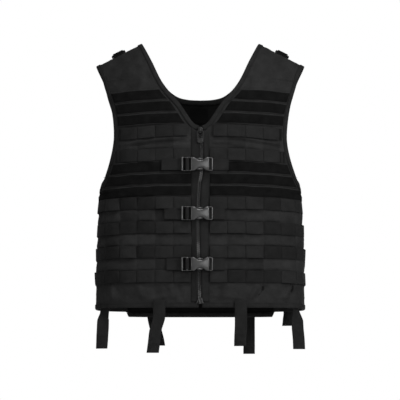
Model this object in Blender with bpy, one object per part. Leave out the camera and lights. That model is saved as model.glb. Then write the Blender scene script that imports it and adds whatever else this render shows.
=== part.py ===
"""A load-bearing vest of black nylon, in the form it has when worn: padded fronts and back, rows of
bar-tacked webbing, hook-and-loop patches, a two-way zip under three side-release buckles, belt straps and
shoulder rings.

The front faces -Y and the wearer's left is at +X. The origin is where the vest sits on the shoulders: midway
between the two shoulder seams, at their mean height. A place on the vest is given by two numbers: how far
round the body it lies from the zip, and its height. Turns round the body are counted in quarters: 0 at the
zip, 1 at the side seam at +X, 2 at the middle of the back and 3 at the other side seam."""

import math

import bpy
import numpy as np

MM = 0.001

# The worn form
SECTION_POWER = 2.9  # how square the horizontal outline is: 2 is an ellipse
SECTION_RATIO = 1.92  # its width over its depth
SHOULDER_DROP = 175 * MM  # the height over which the chest leans in to the shoulder seam
SHOULDER_POWER = 2.2
RIDGE_IN_X, RIDGE_IN_Z = 127 * MM, 24 * MM  # shoulder seam, neck end
RIDGE_OUT_X, RIDGE_OUT_Z = 223 * MM, -24.5 * MM  # shoulder seam, arm end
SEAM_FALL = math.atan2(RIDGE_IN_Z - RIDGE_OUT_Z, RIDGE_OUT_X - RIDGE_IN_X)
# height, half width, half depth
BODY = np.array([
    (-640, 222, 112),
    (-500, 221, 113),
    (-430, 219, 114),
    (-330, 215, 116),
    (-290, 213.5, 117),
    (-230, 211, 118),
    (-160, 211, 118),
    (-110, 218, 118),
    (-70, 233, 117),
    (-30, 254, 114),
    (40, 280, 112),
]) * MM

# Edges of the cloth. Each is a list of points from bottom to top: across, height
NECK_EDGE = np.array([
    (3.2, -169),
    (10, -167),
    (17, -161),
    (27, -147),
    (45, -120),
    (62.5, -100.5),
    (80, -76.5),
    (104, -26),
    (127, 24),
]) * MM
BACK_NECK_EDGE = np.array([
    (0, -80.5),
    (27.5, -79),
    (47.5, -74.5),
    (68, -61.5),
    (85, -42),
    (106, -11),
    (127, 24),
]) * MM
# share of the quarter turn, height in mm
ARMHOLE_EDGE = np.array([
    (1.000, -292),
    (0.900, -289.5),
    (0.816, -279),
    (0.757, -257),
    (0.717, -232),
    (0.689, -195),
    (0.690, -165.6),
    (0.700, -125.4),
    (0.707, -82),
    (0.691, -52),
])
HEM_Z = -546 * MM
BACK_HEM_Z = -557 * MM
BACK_HEM_HALF = 158 * MM  # the back's hem is lower than the sides over this half width
BACK_HEM_STEP = 6 * MM  # and rises to them over this
NECK_BAND = 17 * MM  # plain cloth between the neck edge and the upper patch

# Cloth and tapes
CLOTH = 3.0 * MM  # padded wall
SEAM_GAP = 0.4 * MM
LAYER_GAP = 1.2 * MM
TAPE = 1.5 * MM
WEBBING = 25.4 * MM
WEBBING_LIFT = 1.7 * MM  # how far a loop of webbing bows off the cloth
WEBBING_PITCH = 50.8 * MM
COLUMN_PITCH = 38.1 * MM
FIRST_COLUMN = 19.5 * MM
BINDING = 9 * MM
SEAM_TURN = 0.997  # where a row of webbing stops short of the side seam
SHORT_CELL = 0.12  # a last cell shorter than this share of a column is left out
# name, top edge in pitches above the row under the middle patch, where it starts in mm from the zip, and the
# turn at its end
FRONT_LEVELS = (
    ("1", 3, 27.0, 0.625),
    ("2", 2, 19.5, 0.648),
    ("3", 0, 19.5, SEAM_TURN),
    ("4", -1, 19.5, SEAM_TURN),
    ("5", -2, 19.5, SEAM_TURN),
    ("6", -3, 19.5, SEAM_TURN),
)
# name, top edge in the same pitches, turn at its end from the middle of the back
BACK_LEVELS = (
    ("1", 2, 0.648),
    ("2", 1, 0.70),
    ("3", 0, SEAM_TURN),
    ("4", -1, SEAM_TURN),
    ("5", -2, SEAM_TURN),
    ("6", -3, SEAM_TURN),
)
LEVEL_Z = -317.5 * MM
LOOP_TAPES = 3
PILE = 1.0 * MM  # height of the loop pile above its woven edges
SELVAGE = 2.6 * MM
STRAP_GAP = 1.6 * MM  # from a belt strap to the hem binding under it
STRAP_INSIDE = 3.0 * MM  # from the cloth's inner face to a belt strap sewn inside it
STRAP_SEWN = 3 * MM  # a belt strap lies along the hem down to here
STRAP_FREE = 0.3  # share of its hanging length over which it leaves the form of the cloth
PATCH_MARGIN = 3.5 * MM  # from a loop patch to a binding
PATCH_LIFT = 2.4 * MM  # the underside of a loop patch above the cloth
PATCH_INSET = 0.4 * MM  # from a loop patch to the row of webbing above or below it
PATCH_SPREAD = 0.75  # below 1 sets its stations closer together towards the arm
PATCH_EXTRA = (0.4, 0.7)  # more stations up the lowest tape, where the arm opening's edge bends

# How finely the panels are drawn: rows up to the arm opening and beside it, columns along the neck and along
# the shoulder
PANEL_LOW_ROWS, PANEL_HIGH_ROWS = 5, 14
PANEL_RISE = 1.35  # above 1 sets the rows closer together towards the neck
NECK_COLUMNS, SHOULDER_COLUMNS = 9, 4

# Zip
ZIP_HALF = 3.2 * MM
TEETH_HALF, TEETH_LOW, TEETH_HIGH = 2.8 * MM, -2.2 * MM, 1.8 * MM
PLACKET_ACROSS = np.array([3.8, 9, 14, 19]) * MM  # stations across a placket, from the teeth out
PLACKET_TOP = 5.5 * MM  # from the neck binding to a placket
PLACKET_BOTTOM = 1 * MM  # from the hem binding to a placket
ZIP_TOP_Z = -172 * MM
ZIP_BOTTOM_Z = -540 * MM
SLIDER_LENGTH, SLIDER_HIGH, SLIDER_LIFT = 13 * MM, 3 * MM, 2.8 * MM
TOP_SLIDER_WIDE, TOP_SLIDER_NARROW = 5 * MM, 3.4 * MM  # half widths
LOW_SLIDER_WIDE, LOW_SLIDER_NARROW = 5.6 * MM, 3.0 * MM
PULL_LENGTH, PULL_HALF, PULL_BAR = 26 * MM, 6.5 * MM, 1.0 * MM
PULL_LEG, PULL_FOOT = 2.2 * MM, 9 * MM
PULL_BAR_IN = 0.6 * MM  # how far the pull's bar reaches into its legs
BAIL_HALF, BAIL_IN, BAIL_OUT = 1.4 * MM, 1.6 * MM, 2.9 * MM
BAIL_FOOT = 2.4 * MM  # how far its legs reach back into the slider
BAIL_FREE = 0.1 * MM  # between the slider's face and the pull's bar

# Buckles: name, height of the centre
BUCKLES = (("1", -250 * MM), ("2", -352.5 * MM), ("3", -457.8 * MM))
BUCKLE_UNDER = 6.4 * MM  # its underside above the cloth
SOCKET_THICK, PRONG_THICK = 9 * MM, 4.2 * MM
# The upper half of the socket's outline, and of the prongs' outline with one arm, from right to left: across
# and up, in mm
SOCKET_OUTLINE = (
    (27, 11.5), (25, 13.8), (21, 14.4), (14, 14.4), (10, 12.6), (6, 9.4), (0, 8.2), (-6, 9.4), (-10, 12.2),
    (-13, 13.8), (-17.6, 14.2),
)
PRONG_OUTLINE = (
    (3, 4.6), (2.2, 8.6), (-3, 8.8), (-7, 6.8), (-18.4, 6.4), (-18.4, 13.6), (-22, 14.4), (-38, 14.4), (-39.4, 13),
)
PRONG_FORK = ((-12, -3.6), (-17, -3.6), (-17, 3.6), (-12, 3.6))
# Openings cut through a buckle, in mm: left, right, half depth, half height
SOCKET_MOUTH, SOCKET_SLOT = (-19, 7, 2.6, 9.2), (18.7, 22.2, 6, 13)
PRONG_OUTER_SLOT, PRONG_INNER_SLOT = (-35.6, -29.6, 4, 13), (-25, -20.6, 4, 13)

# Buckle webbing, in mm: across, lift. The left one is sewn flat, goes under the ladder and round its middle bar
TAB_THICK = 1.5 * MM
TAB_LIFT, TAB_LOW = 5.8, 5.2
TAB_OVER, TAB_UNDER = 14.25, 7.55  # its middle over the bar and under it
TAB_LEFT = (
    (-81, TAB_LIFT), (-64, TAB_LIFT), (-48, TAB_LIFT), (-42, TAB_UNDER - 0.9), (-35, TAB_UNDER),
    (-32, TAB_UNDER + 0.5), (-30.9, TAB_UNDER + 2.2), (-30.9, TAB_OVER - 1.7), (-30, TAB_OVER - 0.3),
    (-28.6, TAB_OVER), (-26, TAB_OVER), (-24.6, TAB_OVER - 0.3), (-23.7, TAB_OVER - 1.7), (-23.7, TAB_UNDER + 1.6),
    (-24.6, TAB_UNDER + 0.3), (-26, TAB_UNDER), (-28.4, TAB_UNDER),
)
TAB_RIGHT = ((20.3, 11), (20.3, 8), (20.7, 6.4), (22.4, TAB_LOW), (29, TAB_LOW), (44, TAB_LIFT), (59, TAB_LIFT))

# Belt straps: name, place at the hem in mm round from the zip or the middle of the back, face, whether it is
# sewn inside the cloth, height of its top above the hem and of its lower end, and by equal shares of its hanging
# length how far it has moved across and how many degrees it has turned, clockwise from above
BELT_STRAPS = (
    ("left_side_front", -217, "front", True, 14, -631, (-1, -4, -5, -6, -7), (0, -36, -46, -42, -34)),
    ("left_front", -85, "front", False, 14, -641, (0, 0, -7, -10, -13), (0, 0, -4, -6, -8)),
    ("right_front", 83.5, "front", False, 14, -627, (0, 0, 0, -1, -2), (0, 4, 8, 16, 26)),
    ("right_side_front", 218, "front", True, 14, -632, (1, 3, 4, 6, 7), (0, 36, 44, 46, 46)),
    ("left_side_back", -215, "back", False, 14, -606, (0, -1, -3, -4, -4), (0, 10, 16, 20, 20)),
    ("left_back", -103, "back", False, 16, -620, (0, 3, 7, 11, 14), (0, 0, 6, 8, 8)),
    ("right_back", 106, "back", False, 16, -638, (0, 0, 0, 0, 0), (0, 0, 0, 0, 0)),
    ("right_side_back", 195, "back", False, 14, -578, (0, 0, -1, -1, -2), (0, -10, -14, -18, -18)),
)

# Shoulder rings
RING_X = 174 * MM
RING_WIDTH, RING_HEIGHT, RING_BAR = 33 * MM, 23 * MM, 2.2 * MM
RING_LEG = 0.35  # share of its height below the arch
RING_BACK = 7 * MM  # its bar behind the shoulder seam
RING_LIFT = 7.2 * MM
RING_LEAN = math.radians(98)  # its arch lies back from upright
KEEPER_HALF = 11.5 * MM
KEEPER_LIFT, KEEPER_ROUND = 2.2 * MM, 0.5 * MM  # the middle of its webbing above the seam; its gap round the bar
KEEPER_AHEAD, KEEPER_BEHIND = (-24, -16, -8, -1), (15, 22, 30)  # in mm from the seam, towards the back
KEEPER_WRAP = (-62, 242)  # degrees round the bar, from its front
SEAM_PLAN = 0.85  # share of the half depth that the chest has over the shoulder seam

# Neck label, in mm: stations round from the middle of the back, and up
LABEL_ACROSS, LABEL_UP = np.array([-22.5, -8, 6, 16.5]), np.array([-130, -112, -96])
LABEL_THICK = 0.8 * MM


def clear_scene():
    for obj in list(bpy.data.objects):
        bpy.data.objects.remove(obj, do_unlink=True)


def finish_of(name, hex_colour, roughness, metallic=0.0):
    """A Principled material from an sRGB hex colour."""
    made = bpy.data.materials.new(name)
    made.use_nodes = True
    shader = made.node_tree.nodes["Principled BSDF"]
    channels = [int(hex_colour[i : i + 2], 16) / 255 for i in (0, 2, 4)]
    linear = [c / 12.92 if c <= 0.04045 else ((c + 0.055) / 1.055) ** 2.4 for c in channels]
    shader.inputs["Base Color"].default_value = (*linear, 1)
    shader.inputs["Roughness"].default_value = roughness
    shader.inputs["Metallic"].default_value = metallic
    return made


def turned_out(points, faces):
    """The faces of a closed solid, all turned round if its volume comes out negative."""
    volume = 0.0
    for face in faces:
        for second, third in zip(face[1:-1], face[2:]):
            volume += np.linalg.det(points[[face[0], second, third]])
    return faces if volume > 0 else [(face[0], *face[:0:-1]) for face in faces]


def make_object(name, points, faces, finish):
    points = np.asarray(points, float)
    faces = turned_out(points, [tuple(int(i) for i in face) for face in faces])
    mesh = bpy.data.meshes.new(name)
    mesh.from_pydata([tuple(p) for p in points], [], faces)
    mesh.materials.append(bpy.data.materials[finish].copy())
    mesh.materials[0].name = f"{finish}.{name}"
    obj = bpy.data.objects.new(name, mesh)
    bpy.context.scene.collection.objects.link(obj)
    return obj


def quarter_outline():
    """The first quarter of the horizontal outline, by its length: |x|^n + |y|^n = 1 with n the section power."""
    angle = np.linspace(0, np.pi / 2, 400)
    wide = np.sin(angle) ** (2 / SECTION_POWER)
    deep = np.cos(angle) ** (2 / SECTION_POWER)
    steps = np.hypot(np.diff(wide) * SECTION_RATIO, np.diff(deep))
    run = np.concatenate([[0], np.cumsum(steps)])
    return run / run[-1], wide, deep, run[-1] / SECTION_RATIO


RUN, WIDE, DEEP, QUARTER_LENGTH = quarter_outline()


def half_width(height):
    return np.interp(height, BODY[:, 0], BODY[:, 1])


def half_depth(height):
    return np.interp(height, BODY[:, 0], BODY[:, 2])


def quarters(distance, height):
    """Quarter turns for a distance measured round the vest from the zip."""
    return distance / (half_width(height) * QUARTER_LENGTH)


def quarters_at(x, height):
    """Quarter turns on the front for a distance x across."""
    return np.sign(x) * np.interp(np.abs(x) / half_width(height), WIDE, RUN)


def ridge_height(x):
    """Height of the straight shoulder seam over x."""
    slope = (RIDGE_OUT_Z - RIDGE_IN_Z) / (RIDGE_OUT_X - RIDGE_IN_X)
    return RIDGE_IN_Z + slope * np.maximum(np.abs(x) - RIDGE_IN_X, 0)


def torso(turn, height):
    """The outer face of the cloth: a superellipse at each height, drawn in to the shoulder seam at its top."""
    turn, height = np.broadcast_arrays(np.asarray(turn, float), np.asarray(height, float))
    lap = np.mod(turn, 4)
    side = np.where(lap > 2, -1.0, 1.0)
    half = np.where(lap > 2, 4 - lap, lap)
    face = np.where(half > 1, 1.0, -1.0)
    share = np.where(half > 1, 2 - half, half)
    x = side * half_width(height) * np.interp(share, RUN, WIDE)
    drop = np.clip((ridge_height(x) - height) / SHOULDER_DROP, 0, 1)
    lean = (1 - (1 - drop) ** SHOULDER_POWER) ** (1 / SHOULDER_POWER)
    y = face * half_depth(height) * np.interp(share, RUN, DEEP) * lean
    return np.stack([x, y, height], -1)


def outward(turn, height):
    """Unit normals of the torso, pointing out. On the shoulder seam they stand square on the seam."""
    turn, height = np.broadcast_arrays(np.asarray(turn, float), np.asarray(height, float))
    step = 1 * MM
    turn_step = step / (half_width(height) * QUARTER_LENGTH)
    round_body = torso(turn + turn_step, height) - torso(turn - turn_step, height)
    up = torso(turn, height) - torso(turn, height - step)
    normal = np.cross(round_body, up)
    normal /= np.maximum(np.linalg.norm(normal, axis=-1, keepdims=True), 1e-12)
    place = torso(turn, height)
    level = np.zeros_like(height)
    seam = np.stack([np.sign(place[..., 0]) * math.sin(SEAM_FALL), level, level + math.cos(SEAM_FALL)], -1)
    on_seam = (ridge_height(place[..., 0]) - height < 0.5 * MM)[..., None]
    return np.where(on_seam, seam, normal)


def on_cloth(turn, height, lift):
    """A point lifted off the cloth's outer face."""
    return torso(turn, height) + outward(turn, height) * np.asarray(lift)[..., None]


def closed_sheet(name, outer, inner, finish, ring=False):
    """A closed solid between two grids of points of the same size. With ring, the first and last rows join."""
    rows, columns = outer.shape[:2]
    index = np.arange(rows * columns).reshape(rows, columns)
    back = index + rows * columns
    if ring:
        index, back = np.vstack([index, index[:1]]), np.vstack([back, back[:1]])
    faces = []
    for grid, turned in ((index, False), (back, True)):
        quads = np.stack([grid[:-1, :-1], grid[1:, :-1], grid[1:, 1:], grid[:-1, 1:]], -1).reshape(-1, 4)
        faces.append(quads[:, ::-1] if turned else quads)
    rims = [(index[:, 0], back[:, 0], True), (index[:, -1], back[:, -1], False)]
    if not ring:
        rims += [(index[0], back[0], False), (index[-1], back[-1], True)]
    for top, bottom, turned in rims:
        quads = np.stack([top[:-1], top[1:], bottom[1:], bottom[:-1]], -1)
        faces.append(quads[:, ::-1] if turned else quads)
    points = np.concatenate([outer.reshape(-1, 3), inner.reshape(-1, 3)])
    return make_object(name, points, np.concatenate(faces), finish)


def mirrored(grid):
    """The same grid on the other side of the vest."""
    return grid * np.array([-1, 1, 1])


def lay_sheet(name, turn, height, low, high, finish, left=False):
    """A solid that lies on the cloth between two lifts, over a grid of turns and heights."""
    outer, inner = on_cloth(turn, height, high), on_cloth(turn, height, low)
    if left:
        outer, inner = mirrored(outer), mirrored(inner)
    return closed_sheet(name, outer, inner, finish)


def flattened(line):
    """A line of turns and heights as distances round and up."""
    return np.stack([line[:, 0] * half_width(line[:, 1]) * QUARTER_LENGTH, line[:, 1]], -1)


def as_turns(flat):
    """Distances round and up as turns and heights."""
    return np.stack([quarters(flat[:, 0], flat[:, 1]), flat[:, 1]], -1)


def curve_through(line, count=2400):
    """A smooth curve through a line of turns and heights, its slope at each that between the neighbours."""
    points = flattened(line)
    run = np.concatenate([[0], np.cumsum(np.linalg.norm(np.diff(points, axis=0), axis=1))])
    slope = np.gradient(points, run, axis=0)
    at = np.linspace(0, run[-1], count)
    k = np.clip(np.searchsorted(run, at, side="right") - 1, 0, len(run) - 2)
    step = (run[k + 1] - run[k])[:, None]
    t = (at - run[k])[:, None] / step
    start = (1 + 2 * t) * (1 - t) ** 2 * points[k] + t * (1 - t) ** 2 * step * slope[k]
    end = t**2 * (3 - 2 * t) * points[k + 1] + t**2 * (t - 1) * step * slope[k + 1]
    return as_turns(start + end)


def along_cloth(line, share):
    """Points of a line of turns and heights, at shares of its length over the cloth."""
    place = torso(line[:, 0], line[:, 1])
    run = np.concatenate([[0], np.cumsum(np.linalg.norm(np.diff(place, axis=0), axis=1))])
    return np.stack([np.interp(share, run / run[-1], line[:, k]) for k in (0, 1)], -1)


def armhole_line():
    """The arm opening's front edge from the side seam up to the shoulder seam: turn, height."""
    rows = ARMHOLE_EDGE * (1, MM)
    return curve_through(np.vstack([rows, [on_seam(RIDGE_OUT_X)]]))


def neck_line(edge):
    """A neck edge as turn, height."""
    return curve_through(np.stack([quarters_at(edge[:, 0], edge[:, 1]), edge[:, 1]], -1))


def patch(bottom, top, left, right):
    """A grid between four edges: each pair of facing edges is blended, and the corners counted once."""
    u = np.linspace(0, 1, len(bottom))[:, None, None]
    v = np.linspace(0, 1, len(left))[None, :, None]
    along = (1 - v) * bottom[:, None] + v * top[:, None]
    across = (1 - u) * left[None] + u * right[None]
    corners = (1 - u) * ((1 - v) * bottom[0] + v * top[0]) + u * ((1 - v) * bottom[-1] + v * top[-1])
    return along + across - corners


def stations(count, extra=0):
    """Even shares from 0 to 1, the last few intervals halved for a tape that bends over the shoulder seam."""
    share = np.linspace(0, 1, count)
    halves = (share[1:] + share[:-1])[::-1][:extra] / 2
    return np.sort(np.concatenate([share, halves]))


def armhole_stations(extra=0):
    return along_cloth(armhole_line(), stations(PANEL_HIGH_ROWS, extra))


def neck_stations(edge, extra=0):
    return along_cloth(neck_line(edge), stations(NECK_COLUMNS + 1, extra))


def side_edge():
    """The outer edge of a panel: up the side seam, then up the arm opening: turn, height."""
    arm = armhole_stations()
    seam_z = np.linspace(HEM_Z, arm[0, 1], PANEL_LOW_ROWS, endpoint=False)
    return np.vstack([np.stack([np.ones_like(seam_z), seam_z], -1), arm])


def top_edge(neck):
    """The top edge of half a panel: along the neck, then along the shoulder seam: turn, height."""
    x = np.linspace(RIDGE_IN_X, RIDGE_OUT_X, SHOULDER_COLUMNS)
    return np.vstack([neck[:-1], on_seam(x).T])


def panel_grid(neck, first_distance, hem):
    """Turns and heights of half a panel, from its middle edge out and from its hem up."""
    right = side_edge()
    top = top_edge(neck)
    low = np.linspace(HEM_Z, LEVEL_Z, PANEL_LOW_ROWS, endpoint=False)
    high = LEVEL_Z + (neck[0, 1] - LEVEL_Z) * (1 - np.linspace(1, 0, PANEL_HIGH_ROWS) ** PANEL_RISE)
    heights = np.concatenate([low, high])
    left = np.stack([quarters(first_distance, heights), heights], -1)
    u = np.linspace(0, 1, len(top))
    bottom = np.stack([left[0, 0] + (1 - left[0, 0]) * u, np.full(len(top), HEM_Z)], -1)
    grid = patch(bottom, top, left, right)
    fall = np.linspace(1, 0, len(left))[None, :] ** 3
    grid[..., 1] += (hem(grid[..., 0]) - HEM_Z) * fall
    return grid


def front_hem(turn):
    return np.full_like(turn, HEM_Z)


def back_hem(turn):
    """The back hangs lower in the middle, and steps up to the sides' hem."""
    distance = np.abs(turn) * half_width(HEM_Z) * QUARTER_LENGTH
    rise = np.clip((distance - BACK_HEM_HALF) / BACK_HEM_STEP, 0, 1)
    return BACK_HEM_Z + (HEM_Z - BACK_HEM_Z) * rise**2 * (3 - 2 * rise)


def clear_seams(points, face):
    """Keeps a panel its share of the gap off the side and shoulder seams, which lie in the plane y = 0."""
    points = points.copy()
    points[..., 1] = face * np.maximum(face * points[..., 1], SEAM_GAP / 2)
    return points


def front_panels():
    grid = panel_grid(neck_stations(NECK_EDGE), ZIP_HALF, front_hem)
    outer = clear_seams(on_cloth(grid[..., 0], grid[..., 1], 0.0), -1)
    inner = clear_seams(on_cloth(grid[..., 0], grid[..., 1], -CLOTH), -1)
    closed_sheet("front_panel_right", outer, inner, "cloth")
    closed_sheet("front_panel_left", mirrored(outer), mirrored(inner), "cloth")


def back_panel():
    half = panel_grid(neck_stations(BACK_NECK_EDGE), 0.0, back_hem)
    outer = clear_seams(on_cloth(2 - half[..., 0], half[..., 1], 0.0), 1)[::-1]
    inner = clear_seams(on_cloth(2 - half[..., 0], half[..., 1], -CLOTH), 1)[::-1]
    whole_outer = np.concatenate([outer, mirrored(outer)[::-1][1:]])
    whole_inner = np.concatenate([inner, mirrored(inner)[::-1][1:]])
    closed_sheet("back_panel", whole_outer, whole_inner, "cloth")


def moved_in(line, distance):
    """A line of turns and heights moved sideways over the cloth, to its left as it runs. Close under the
    shoulder seam it moves along the seam, and keeps its depth below it."""
    flat = flattened(line)
    along = np.gradient(flat, axis=0)
    along /= np.linalg.norm(along, axis=1, keepdims=True)
    moved = as_turns(flat + distance * np.stack([-along[:, 1], along[:, 0]], -1))
    x = torso(line[:, 0], line[:, 1])[:, 0]
    drop = ridge_height(x) - line[:, 1]
    beside = x - distance * math.cos(SEAM_FALL)
    height = ridge_height(beside) - drop
    under_seam = np.stack([quarters_at(beside, height), height], -1)
    near = np.clip((40 * MM - drop) / (30 * MM), 0, 1)[:, None]
    return moved * (1 - near) + under_seam * near


def on_seam(x):
    """The place on the shoulder seam over x: turn, height."""
    z = ridge_height(np.asarray(x, float))
    return np.array([quarters_at(x, z), z])


def over_the_back(line):
    """The same line on the back of the vest."""
    return line * (-1, 1) + (2, 0)


def armhole_inside(edge, margin):
    """The line beside the arm opening's edge, from under the side seam's top to the shoulder seam."""
    inside = moved_in(edge, margin)
    inside[0] = (1, edge[0, 1] - margin)
    return inside


def armhole_bindings():
    edge = armhole_stations(2)
    inside = armhole_inside(edge, BINDING)
    ring_edge = np.vstack([edge, over_the_back(edge)[::-1][1:-1]])
    ring_inside = np.vstack([inside, over_the_back(inside)[::-1][1:-1]])
    turn = np.stack([ring_edge[:, 0], ring_inside[:, 0]], 1)
    height = np.stack([ring_edge[:, 1], ring_inside[:, 1]], 1)
    outer, inner = on_cloth(turn, height, LAYER_GAP + TAPE), on_cloth(turn, height, LAYER_GAP)
    closed_sheet("armhole_binding_right", outer, inner, "binding", ring=True)
    closed_sheet("armhole_binding_left", mirrored(outer), mirrored(inner), "binding", ring=True)


def neck_binding():
    """One tape from the zip up the right of the neck, round the back and down the left of it."""
    front, back = neck_stations(NECK_EDGE, 3), neck_stations(BACK_NECK_EDGE, 3)
    front_in, back_in = moved_in(front, -BINDING), moved_in(back, -BINDING)
    front_in[0] = (front[0, 0], front[0, 1] - BINDING)
    back_in[0] = (0, back[0, 1] - BINDING)
    over = np.stack([over_the_back(back)[::-1], over_the_back(back_in)[::-1]], 1)
    half = np.vstack([np.stack([front, front_in], 1), over[1:]])
    outer = on_cloth(half[..., 0], half[..., 1], LAYER_GAP + TAPE)
    inner = on_cloth(half[..., 0], half[..., 1], LAYER_GAP)
    outer = np.concatenate([outer, mirrored(outer)[::-1][1:]])
    inner = np.concatenate([inner, mirrored(inner)[::-1][1:]])
    closed_sheet("neck_binding", outer, inner, "binding")


def hem_binding():
    """One tape from the zip round the body to the zip."""
    first = quarters(ZIP_HALF, HEM_Z)
    front = first + (1 - first) * np.linspace(0, 1, 15) ** 0.8
    corner = quarters(BACK_HEM_HALF, HEM_Z)
    steps = quarters(np.array([0, 0.35, 0.65, 1]) * BACK_HEM_STEP, HEM_Z)
    round_corner = np.linspace(1, 2 - corner - steps[-1], 7)[1:-1]
    back = np.concatenate([round_corner, 2 - corner - steps[::-1], np.linspace(2 - corner, 2, 6)[1:]])
    turn = np.concatenate([front, back])
    bottom = np.where(turn > 1, back_hem(2 - turn), HEM_Z)
    turn = np.concatenate([turn, 4 - turn[::-1][1:]])
    bottom = np.concatenate([bottom, bottom[::-1][1:]])
    grid_turn = np.stack([turn, turn], 1)
    grid_height = np.stack([bottom, bottom + BINDING], 1)
    lay_sheet("hem_binding", grid_turn, grid_height, LAYER_GAP, LAYER_GAP + TAPE, "binding")


def level_top(pitches):
    return LEVEL_Z + pitches * WEBBING_PITCH


def arm_limit(height, margin):
    """Turn at a margin from the arm opening's edge, at a height. Below the opening it is the side seam's."""
    inside = armhole_inside(armhole_line()[::40], margin)
    limit = np.interp(height, inside[:, 1], inside[:, 0])
    return np.where(height < inside[0, 1], SEAM_TURN, np.minimum(limit, SEAM_TURN))


def loop_patches():
    """Three loop tapes edge to edge. Each has its woven edges low and its pile high."""
    neck = neck_line(NECK_EDGE)
    upper, middle = level_top(3) + LOOP_TAPES * WEBBING, level_top(1) + WEBBING
    for name, top, columns in (("upper", upper, 7), ("middle", middle, 12)):
        rows = [PATCH_INSET]
        lift = [0.0]
        for tape in range(LOOP_TAPES):
            base = tape * WEBBING
            rising = PATCH_EXTRA if name == "middle" and tape == 0 else ()
            pile = [SELVAGE, *(WEBBING * share for share in rising), WEBBING - SELVAGE]
            rows += [base + height for height in pile] + [base + WEBBING]
            lift += [PILE] * len(pile) + [0.0]
        rows[-1] -= PATCH_INSET
        rows, lift = np.array(rows), np.array(lift)
        across = np.linspace(0, 1, columns)[:, None] ** PATCH_SPREAD
        height = np.broadcast_to(top - LOOP_TAPES * WEBBING + rows, (len(across), len(rows)))
        outer_turn = arm_limit(height[0], BINDING + PATCH_MARGIN)
        if name == "upper":
            neck_turn = np.interp(height[0], neck[:, 1], neck[:, 0])
            inner_turn = neck_turn + quarters(NECK_BAND, height[0])
        else:
            inner_turn = quarters(FIRST_COLUMN, height[0])
        turn = inner_turn + (outer_turn - inner_turn) * across
        raised = np.zeros((len(across), len(rows)))
        raised[1:-1] = 1
        high = PATCH_LIFT + TAPE + lift * raised
        for side, left in (("left", True), ("right", False)):
            lay_sheet(f"{name}_loop_tapes_{side}", turn, height, PATCH_LIFT, high, "loop_pile", left)


def webbing_turns(first, last, height):
    """Stations along a row of webbing and its bow at each: flat at the bar-tacks, full midway between."""
    length = half_width(height) * QUARTER_LENGTH
    cells = np.arange(0, (last - first) * length / COLUMN_PITCH - SHORT_CELL, 0.5)
    return np.append(first + cells * COLUMN_PITCH / length, last), np.append(2 * (cells % 1), 0.0)


def webbing_row(name, turns, bow, top, left):
    turn = np.stack([turns, turns], 1)
    height = np.broadcast_to(np.array([top - WEBBING, top]), turn.shape)
    low = LAYER_GAP + WEBBING_LIFT * np.stack([bow, bow], 1)
    lay_sheet(name, turn, height, low, low + TAPE, "webbing", left)


def front_webbing():
    for name, pitches, start, end in FRONT_LEVELS:
        top = level_top(pitches)
        middle = top - WEBBING / 2
        turns, bow = webbing_turns(quarters(start * MM, middle), end, middle)
        for side, left in (("left", True), ("right", False)):
            webbing_row(f"front_webbing_{name}_{side}", turns, bow, top, left)


def back_webbing():
    for name, pitches, end in BACK_LEVELS:
        top = level_top(pitches)
        turns, bow = webbing_turns(2 - end, 2.0, top)
        whole = np.concatenate([turns, 4 - turns[::-1][1:]])
        whole_bow = np.concatenate([bow, bow[::-1][1:]])
        webbing_row(f"back_webbing_{name}", whole, whole_bow, top, False)


def plackets():
    """The folded facings beside the teeth. Their tops round down to the zip."""
    bottom = HEM_Z + BINDING + PLACKET_BOTTOM
    tops = np.interp(PLACKET_ACROSS, NECK_EDGE[:, 0], NECK_EDGE[:, 1]) - BINDING - PLACKET_TOP
    height = bottom + (tops[:, None] - bottom) * np.linspace(0, 1, 12)[None, :]
    turn = quarters(PLACKET_ACROSS[:, None], height)
    for side, left in (("left", True), ("right", False)):
        lay_sheet(f"placket_{side}", turn, height, LAYER_GAP, LAYER_GAP + TAPE, "cloth", left)


def box_points(low, high):
    """The eight corners of a box and its faces, facing out."""
    ends = list(zip(low, high))
    corners = np.array([(x, y, z) for x in ends[0] for y in ends[1] for z in ends[2]])
    faces = [(0, 1, 3, 2), (4, 6, 7, 5), (0, 4, 5, 1), (2, 3, 7, 6), (0, 2, 6, 4), (1, 5, 7, 3)]
    return corners, faces


def extruded(name, outline, depth, finish, centre=(0.0, 0.0, 0.0)):
    """An outline of points across and up, anticlockwise from the front, given a depth towards the back."""
    outline = np.asarray(outline, float)
    count = len(outline)
    front = np.stack([outline[:, 0], np.full(count, -depth / 2), outline[:, 1]], -1)
    back = front + (0, depth, 0)
    faces = [list(range(count)), list(range(2 * count - 1, count - 1, -1))]
    for k in range(count):
        n = (k + 1) % count
        faces.append([n, k, k + count, n + count])
    obj = make_object(name, np.concatenate([front, back]), faces, finish)
    obj.location = centre
    return obj


def helper(obj):
    """Marks an object that only cuts or joins another."""
    obj.hide_render = True
    obj.display_type = "WIRE"


def combine(obj, other, operation, label):
    """Cuts a helper out of an object, or joins it on."""
    helper(other)
    change = obj.modifiers.new(label, "BOOLEAN")
    change.operation = operation
    change.solver = "EXACT"
    change.object = other


def cut_through(obj, opening, label):
    """Cuts an opening of left, right, half depth and half height out of a buckle half, which carries it."""
    left, right, deep, high = (value * MM for value in opening)
    corners, faces = box_points((left, -deep, -high), (right, deep, high))
    cutter = make_object(f"cutter_{label}_{obj.name}", corners, faces, "buckle_plastic")
    cutter.parent = obj
    combine(obj, cutter, "DIFFERENCE", label)


def front_y(height, lift):
    """Y of a point on the centre line, lifted off the cloth."""
    return -float(half_depth(height)) - lift


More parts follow.
